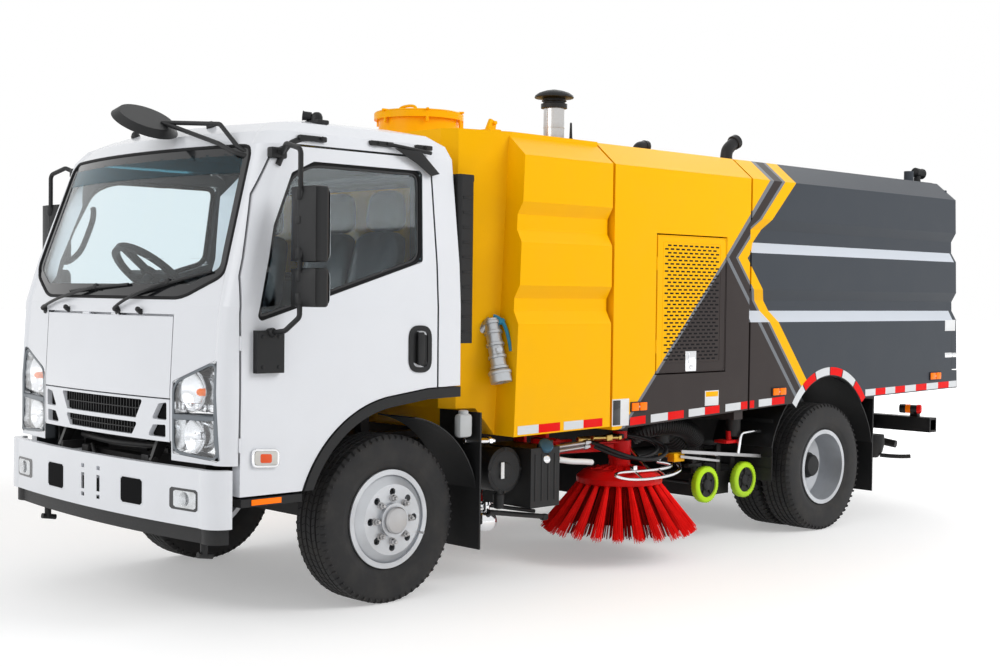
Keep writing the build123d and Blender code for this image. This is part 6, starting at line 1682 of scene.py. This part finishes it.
class SWEEPER_OT_side_tanks(bpy.types.Operator):
    """Add the details of the air filter, the fluid tank, the fuel tank and the air intake"""
    bl_idname = "sweeper.side_tanks"
    bl_label = "Tanks beside the frame"

    def execute(self, context):
        can = [outwards(838, 715, 560, [(0, 108), (3, 113), (14, 113), (17, 104), (20, 96), (16, 90), (16, 40),
            (22, 34), (24, 10)], 48), around(block((842, 707, 560 + 96), (858, 723, 560 + 114), 3.0), 4,
            (845, 715, 560), (1, 0, 0)), outwards(700, 715, 560, [(0, 109), (4, 113), (16, 113), (20, 109)], 48)]
        finished(can, "air_filter", moulded(), "chassis")
        finished(block((860, 682, 520), (863, 704, 600), 1.0), "filter_label", white_plate(), "chassis")
        ribs = [block((902, 872 + 46 * k, 395), (908, 884 + 46 * k, 630), 2.5) for k in range(4)]
        ribs.append(tube([(890, 860, 640), (890, 940, 668), (884, 1000, 664)], 8.0))
        finished(ribs, "fluid_tank_ribs", moulded(), "chassis")
        neck = turned(at(846, 975, 624), (0.72, -0.25, 0.62), [(0, 40), (50, 38), (62, 36)], 28)
        finished(neck, "fluid_neck", moulded(), "chassis")
        cap = turned(at(889, 960, 662), (0.72, -0.25, 0.62), [(0, 34), (2, 38), (18, 38), (22, 34), (24, 4)], 28)
        finished(cap, "fluid_cap", coat("cap_blue", (0.03, 0.12, 0.20), 0.4, amount=0.2, road=0.1), "chassis")
        small = turned(at(902, 954, 601), (1, -0.2, 0.2), [(0, 20), (10, 20), (14, 14), (15, 3)], 24)
        finished(small, "fluid_sensor", chrome(), "chassis")
        valve = [rod((745, 520, 322), (760, 640, 306), 26.0, 4.0), turned(at(756, 620, 309), (0.12, 1, -0.1),
            [(0, 34), (6, 42), (30, 52), (70, 52), (96, 40), (104, 30)], 32), upright(760, 680, 340,
            [(0, 18), (40, 18), (44, 26), (58, 26), (62, 16)], 24), tube([(760, 655, 379), (730, 600, 392),
            (690, 560, 400)], 12.0)]
        finished(valve, "drain_valve", chrome(), "chassis")
        strainer = [upright(846, 682, 372, [(0, 14), (6, 26), (70, 28), (74, 20), (92, 12)], 24),
            rod((800, 660, 352), (800, 1050, 292), 13.0), rod((770, 690, 380), (780, 1000, 322), 10.0),
            block((784, 1030, 274), (816, 1070, 306), 8.0)]
        finished(strainer, "strainer_links", moulded(), "chassis")
        pipe = [rod((860, 434, 722), (860, 600, 713), 14.0), turned(at(860, 590, 713), (0, 1, -0.05),
                                                                        [(0, 20), (20, 20), (26, 12), (44, 10)], 6)]
        finished(pipe, "overflow_pipe", chrome(), "chassis")
        bottle = [block((862, 362, 742), (912, 446, 856), 18.0),
                         upright(887, 404, 852, [(0, 24), (16, 24), (20, 18)], 20)]
        finished(bottle, "coolant_bottle", coat("bottle_white", (0.55, 0.57, 0.58), 0.35, amount=0.2, road=0.2),
            "chassis")
        elbows = [tube([(700, 640, 700), (620, 640, 740), (560, 660, 700), (500, 700, 640)], 26.0),
                         tube([(760, 600, 690), (720, 660, 660), (700, 720, 650)], 16.0),
                         turned(at(640, 640, 732), (-1, 0, 0.2), [(0, 30), (14, 30)], 24)]
        finished(elbows, "intake_elbows", hose_black(), "chassis")
        curtain = [block((-372, 2106, 236), (372, 2113, 560), 2.0), *[block((side * 352 - 14, 2100, 420),
            (side * 352 + 14, 2106, 706), 2.0) for side in (-1, 1)], block((-366, 2098, 520), (366, 2106, 556),
            2.0)]
        finished(curtain, "dust_curtain", soft_black(), "chassis")
        straps = []
        for y in (690, 1030):
            straps.append(tube([(-904, y, 340), (-904, y, 682), (-890, y, 694), (-530, y, 694)], 7.0, smooth=False,
                count=2))
        straps.append(turned(at(-920, 700, 630), (-0.6, 0, 0.5), [(0, 34), (4, 38), (22, 38), (26, 30)], 28))
        finished(straps, "fuel_straps", steel(), "chassis")
        lines = [rod((800, 1110, 640), (800, 1345, 650), 11.0), rod((800, 1110, 618), (800, 1340, 628), 11.0),
                 turned(at(800, 1345, 650), (0, 1, 0.04), [(0, 16), (26, 16), (30, 11), (44, 11)], 6),
                 turned(at(800, 1340, 628), (0, 1, 0.04), [(0, 16), (26, 16), (30, 11), (44, 11)], 6)]
        both(lines, "hydraulic_pipes", steel(), "chassis")
        sleeve = tube([(880, 1065, 590), (885, 1150, 574), (880, 1250, 566), (870, 1328, 556)], 15.0, count=4)
        both(sleeve, "hose_sleeve", white_plate(), "chassis")
        hoses = [tube([(742, 1470, 640), (785, 1505, 622), (850, 1560, 584), (904, 1700, 540), (905, 1860, 545),
            (860, 1960, 585), (800, 1930, 625), (760, 1830, 648), (745, 1760, 660)], 11.0, count=5),
            tube([(748, 1480, 618), (796, 1520, 592), (868, 1600, 552), (896, 1740, 556), (872, 1870, 585),
            (820, 1890, 625), (772, 1800, 655), (738, 1740, 664)], 10.0, count=5)]
        both(hoses, "brush_hoses", hose_black(), "brush_arm_{}")
        manifold = [rod((770, 1440, 668), (770, 1640, 658), 13.0), block((752, 1540, 646), (788, 1585, 678), 3.0),
                           turned(at(770, 1640, 658), (0, 1, 0), [(0, 17), (20, 17), (26, 10), (50, 9)], 6)]
        both(manifold, "brass_valve", brass(), "chassis")
        duct = [block((824, 354, 1950), (902, 446, 1986), 6.0),
                       *[block((900, 372, 1240 + 70 * k), (908, 432, 1252 + 70 * k), 2.0) for k in range(10)]]
        finished(duct, "intake_duct", moulded(), "cab")
        return {"FINISHED"}


class SWEEPER_OT_guards(bpy.types.Operator):
    """Add the liners over the wheels and the wiring along the frame"""
    bl_idname = "sweeper.guards"
    bl_label = "Wheel liners"

    def execute(self, context):
        grid = []
        for step in range(25):
            angle = math.radians(-74 + 152 * step / 24)
            grid.append([at(x, 3360 + 560 * math.sin(angle), 388 + 552 * math.cos(angle)) for x in (505, 930, 938)])
        both(sheet_of(grid, 6.0), "rear_liner_guard", moulded(), "chassis")
        grid = []
        for step in range(13):
            angle = math.radians(8 + 76 * step / 12)
            grid.append([at(x, 20 + 470 * math.sin(angle), 388 + 470 * math.cos(angle)) for x in (640, 906)])
        both(sheet_of(grid, 6.0), "front_liner_guard", moulded(), "chassis")
        shield = merged([block((500, 2880, 330), (900, 2886, 700), 2.0)] +
                        [block((500, 2876, 400 + 70 * k), (900, 2882, 410 + 70 * k), 1.5) for k in range(4)])
        both(shield, "rear_wheel_shield", moulded(), "chassis")
        flap = [block((505, 3931, 250 + 90 * k), (930, 3934, 262 + 90 * k), 2.0) for k in range(5)]
        flap += [block((645, 485, 260 + 90 * k), (925, 488, 272 + 90 * k), 2.0) for k in range(6)]
        both(flap, "flap_ribs", moulded(), "chassis")
        wires = [tube([(384, -300, 600), (390, 200, 640), (388, 640, 560), (384, 900, 610)], 9.0),
            tube([(384, 2500, 700), (392, 2900, 660), (388, 3400, 700), (384, 4000, 640), (384, 4700, 660)], 9.0),
            tube([(330, 3940, 640), (420, 4100, 600), (500, 4200, 560), (520, 4300, 520)], 14.0)]
        both(wires, "frame_wiring", hose_black(), "chassis")
        return {"FINISHED"}


class SWEEPER_OT_rear(bpy.types.Operator):
    """Add the rear lamps, the bar ends, the tailgate's ribs and its latches"""
    bl_idname = "sweeper.rear"
    bl_label = "Rear end"

    def execute(self, context):
        def back(z):
            return 4870.0 - (z - 822.0) * 70.0 / 1391.0

        def beacon(rings):
            return turned(at(640, 4860, 655), (0.9, 0.35, 0), rings, 28)

        def plate(low, high, bottom, top, lower, upper, depth, edge):
            """Flat piece on the sloping tailgate: its sides, its ends, and the heights its two ends lean at."""
            first, last = back(lower) - 1, back(upper) - 1
            return panel([(low, first, bottom), (high, first, bottom), (high, last, top), (low, last, top)],
                         (0, depth, 0), edge)

        ends = [block((770, 4858, 503), (810.6, 4944, 597), 6.0), block((806, 4866, 512), (811, 4936, 588), 2.0)]
        both(ends, "bar_end", chrome(), "chassis")
        stand = [block((640, 4880, 598), (700, 4920, 626), 4.0), rod((670, 4900, 600), (670, 4900, 640), 9.0),
                        beacon([(-60, 22), (-56, 30), (-20, 32), (-18, 28), (60, 28)])]
        both(stand, "beacon_base", moulded(), "chassis")
        both(beacon([(-16, 30), (14, 31), (16, 28)]), "beacon_amber", amber(),
             "chassis")
        both(beacon([(60, 30), (62, 32), (84, 32), (90, 26), (93, 10)]),
             "beacon_red", red_lens(), "chassis")
        box_x = ((420, 520, red_lens()), (525, 610, amber()), (614, 660, clear_plastic()))
        both(block((412, 4934, 515), (668, 4942, 590), 4.0), "tail_lamp_base", moulded(), "chassis")
        for low, high, material in box_x:
            both(block((low, 4936, 521), (high, 4944.6, 584), 3.0), "tail_lamp_%d" % low, material, "chassis")
        ribs = [plate(x - 35, x + 35, 1040, 2120, 1040, 2120, 14, 6.0) for x in (-600, -200, 200, 600)]
        ribs += [plate(-930, 930, z - 30, z + 30, z, z + 60, 12, 6.0) for z in (1010, 1560, 2135)]
        finished(ribs, "tailgate_ribs", livery_paint(), "tailgate")
        latches = [block((930, 4700, 1030), (1004, 4790, 1064), 4.0), rod((990, 4740, 1047), (990, 4850, 1047),
            12.0), block((978, 4800, 1030), (1003, 4862, 1062), 5.0)]
        both(latches, "gate_latch", chrome(), "tailgate")
        lights = [plate(x - 45, x + 45, 1180, 1400, 1250, 1400, 16, 5.0) for x in (-900, 900)]
        finished(lights, "gate_lamps", red_lens(), "tailgate")
        pipe = [tube([(300, 4600, 420), (300, 4780, 440), (420, 4820, 420), (560, 4840, 400)], 26.0),
                       turned(at(470, 4700, 470), (0, 0, -1), [(0, 70), (60, 74), (120, 60), (160, 30)], 28),
                       tube([(520, 4700, 330), (620, 4760, 320), (700, 4800, 330)], 14.0)]
        finished(pipe, "rear_plumbing", chassis_black(), "chassis")
        return {"FINISHED"}


# ---------------------------------------------------------------- panel and registration
OPERATORS = (
    SWEEPER_OT_stage, SWEEPER_OT_coats, SWEEPER_OT_window_trims, SWEEPER_OT_wipers, SWEEPER_OT_roof_fittings,
    SWEEPER_OT_headlamps, SWEEPER_OT_grille, SWEEPER_OT_bumper, SWEEPER_OT_door_fittings, SWEEPER_OT_interior,
    SWEEPER_OT_tyres, SWEEPER_OT_wheel_fittings, SWEEPER_OT_brushes, SWEEPER_OT_brush_gear, SWEEPER_OT_tape,
    SWEEPER_OT_side_lamps, SWEEPER_OT_service_door, SWEEPER_OT_tank_fittings, SWEEPER_OT_stack, SWEEPER_OT_suction,
    SWEEPER_OT_side_tanks, SWEEPER_OT_guards, SWEEPER_OT_rear,
)


class SWEEPER_PT_pieces(bpy.types.Panel):
    """List of the truck's settings and piece groups"""
    bl_idname = "SWEEPER_PT_pieces"
    bl_label = "Street Sweeper Truck"
    bl_space_type = "VIEW_3D"
    bl_region_type = "UI"
    bl_category = "Sweeper"

    def draw(self, context):
        for settings in (context.scene.sweeper_colours, context.scene.sweeper_sizes):
            column = self.layout.column()
            for name in settings.__annotations__:
                column.prop(settings, name)
        column = self.layout.column(align=True)
        for operator in OPERATORS:
            column.operator(operator.bl_idname, text=operator.bl_label)


CLASSES = (SWEEPER_PG_colours, SWEEPER_PG_sizes, *OPERATORS, SWEEPER_PT_pieces)


def register():
    for item in CLASSES:
        bpy.utils.register_class(item)
    bpy.types.Scene.sweeper_colours = PointerProperty(type=SWEEPER_PG_colours)
    bpy.types.Scene.sweeper_sizes = PointerProperty(type=SWEEPER_PG_sizes)


def unregister():
    del bpy.types.Scene.sweeper_sizes
    del bpy.types.Scene.sweeper_colours
    for item in reversed(CLASSES):
        bpy.utils.unregister_class(item)


def main():
    register()
    for operator in OPERATORS:
        group, name = operator.bl_idname.split(".")
        getattr(getattr(bpy.ops, group), name)()


if __name__ == "__main__":
    main()
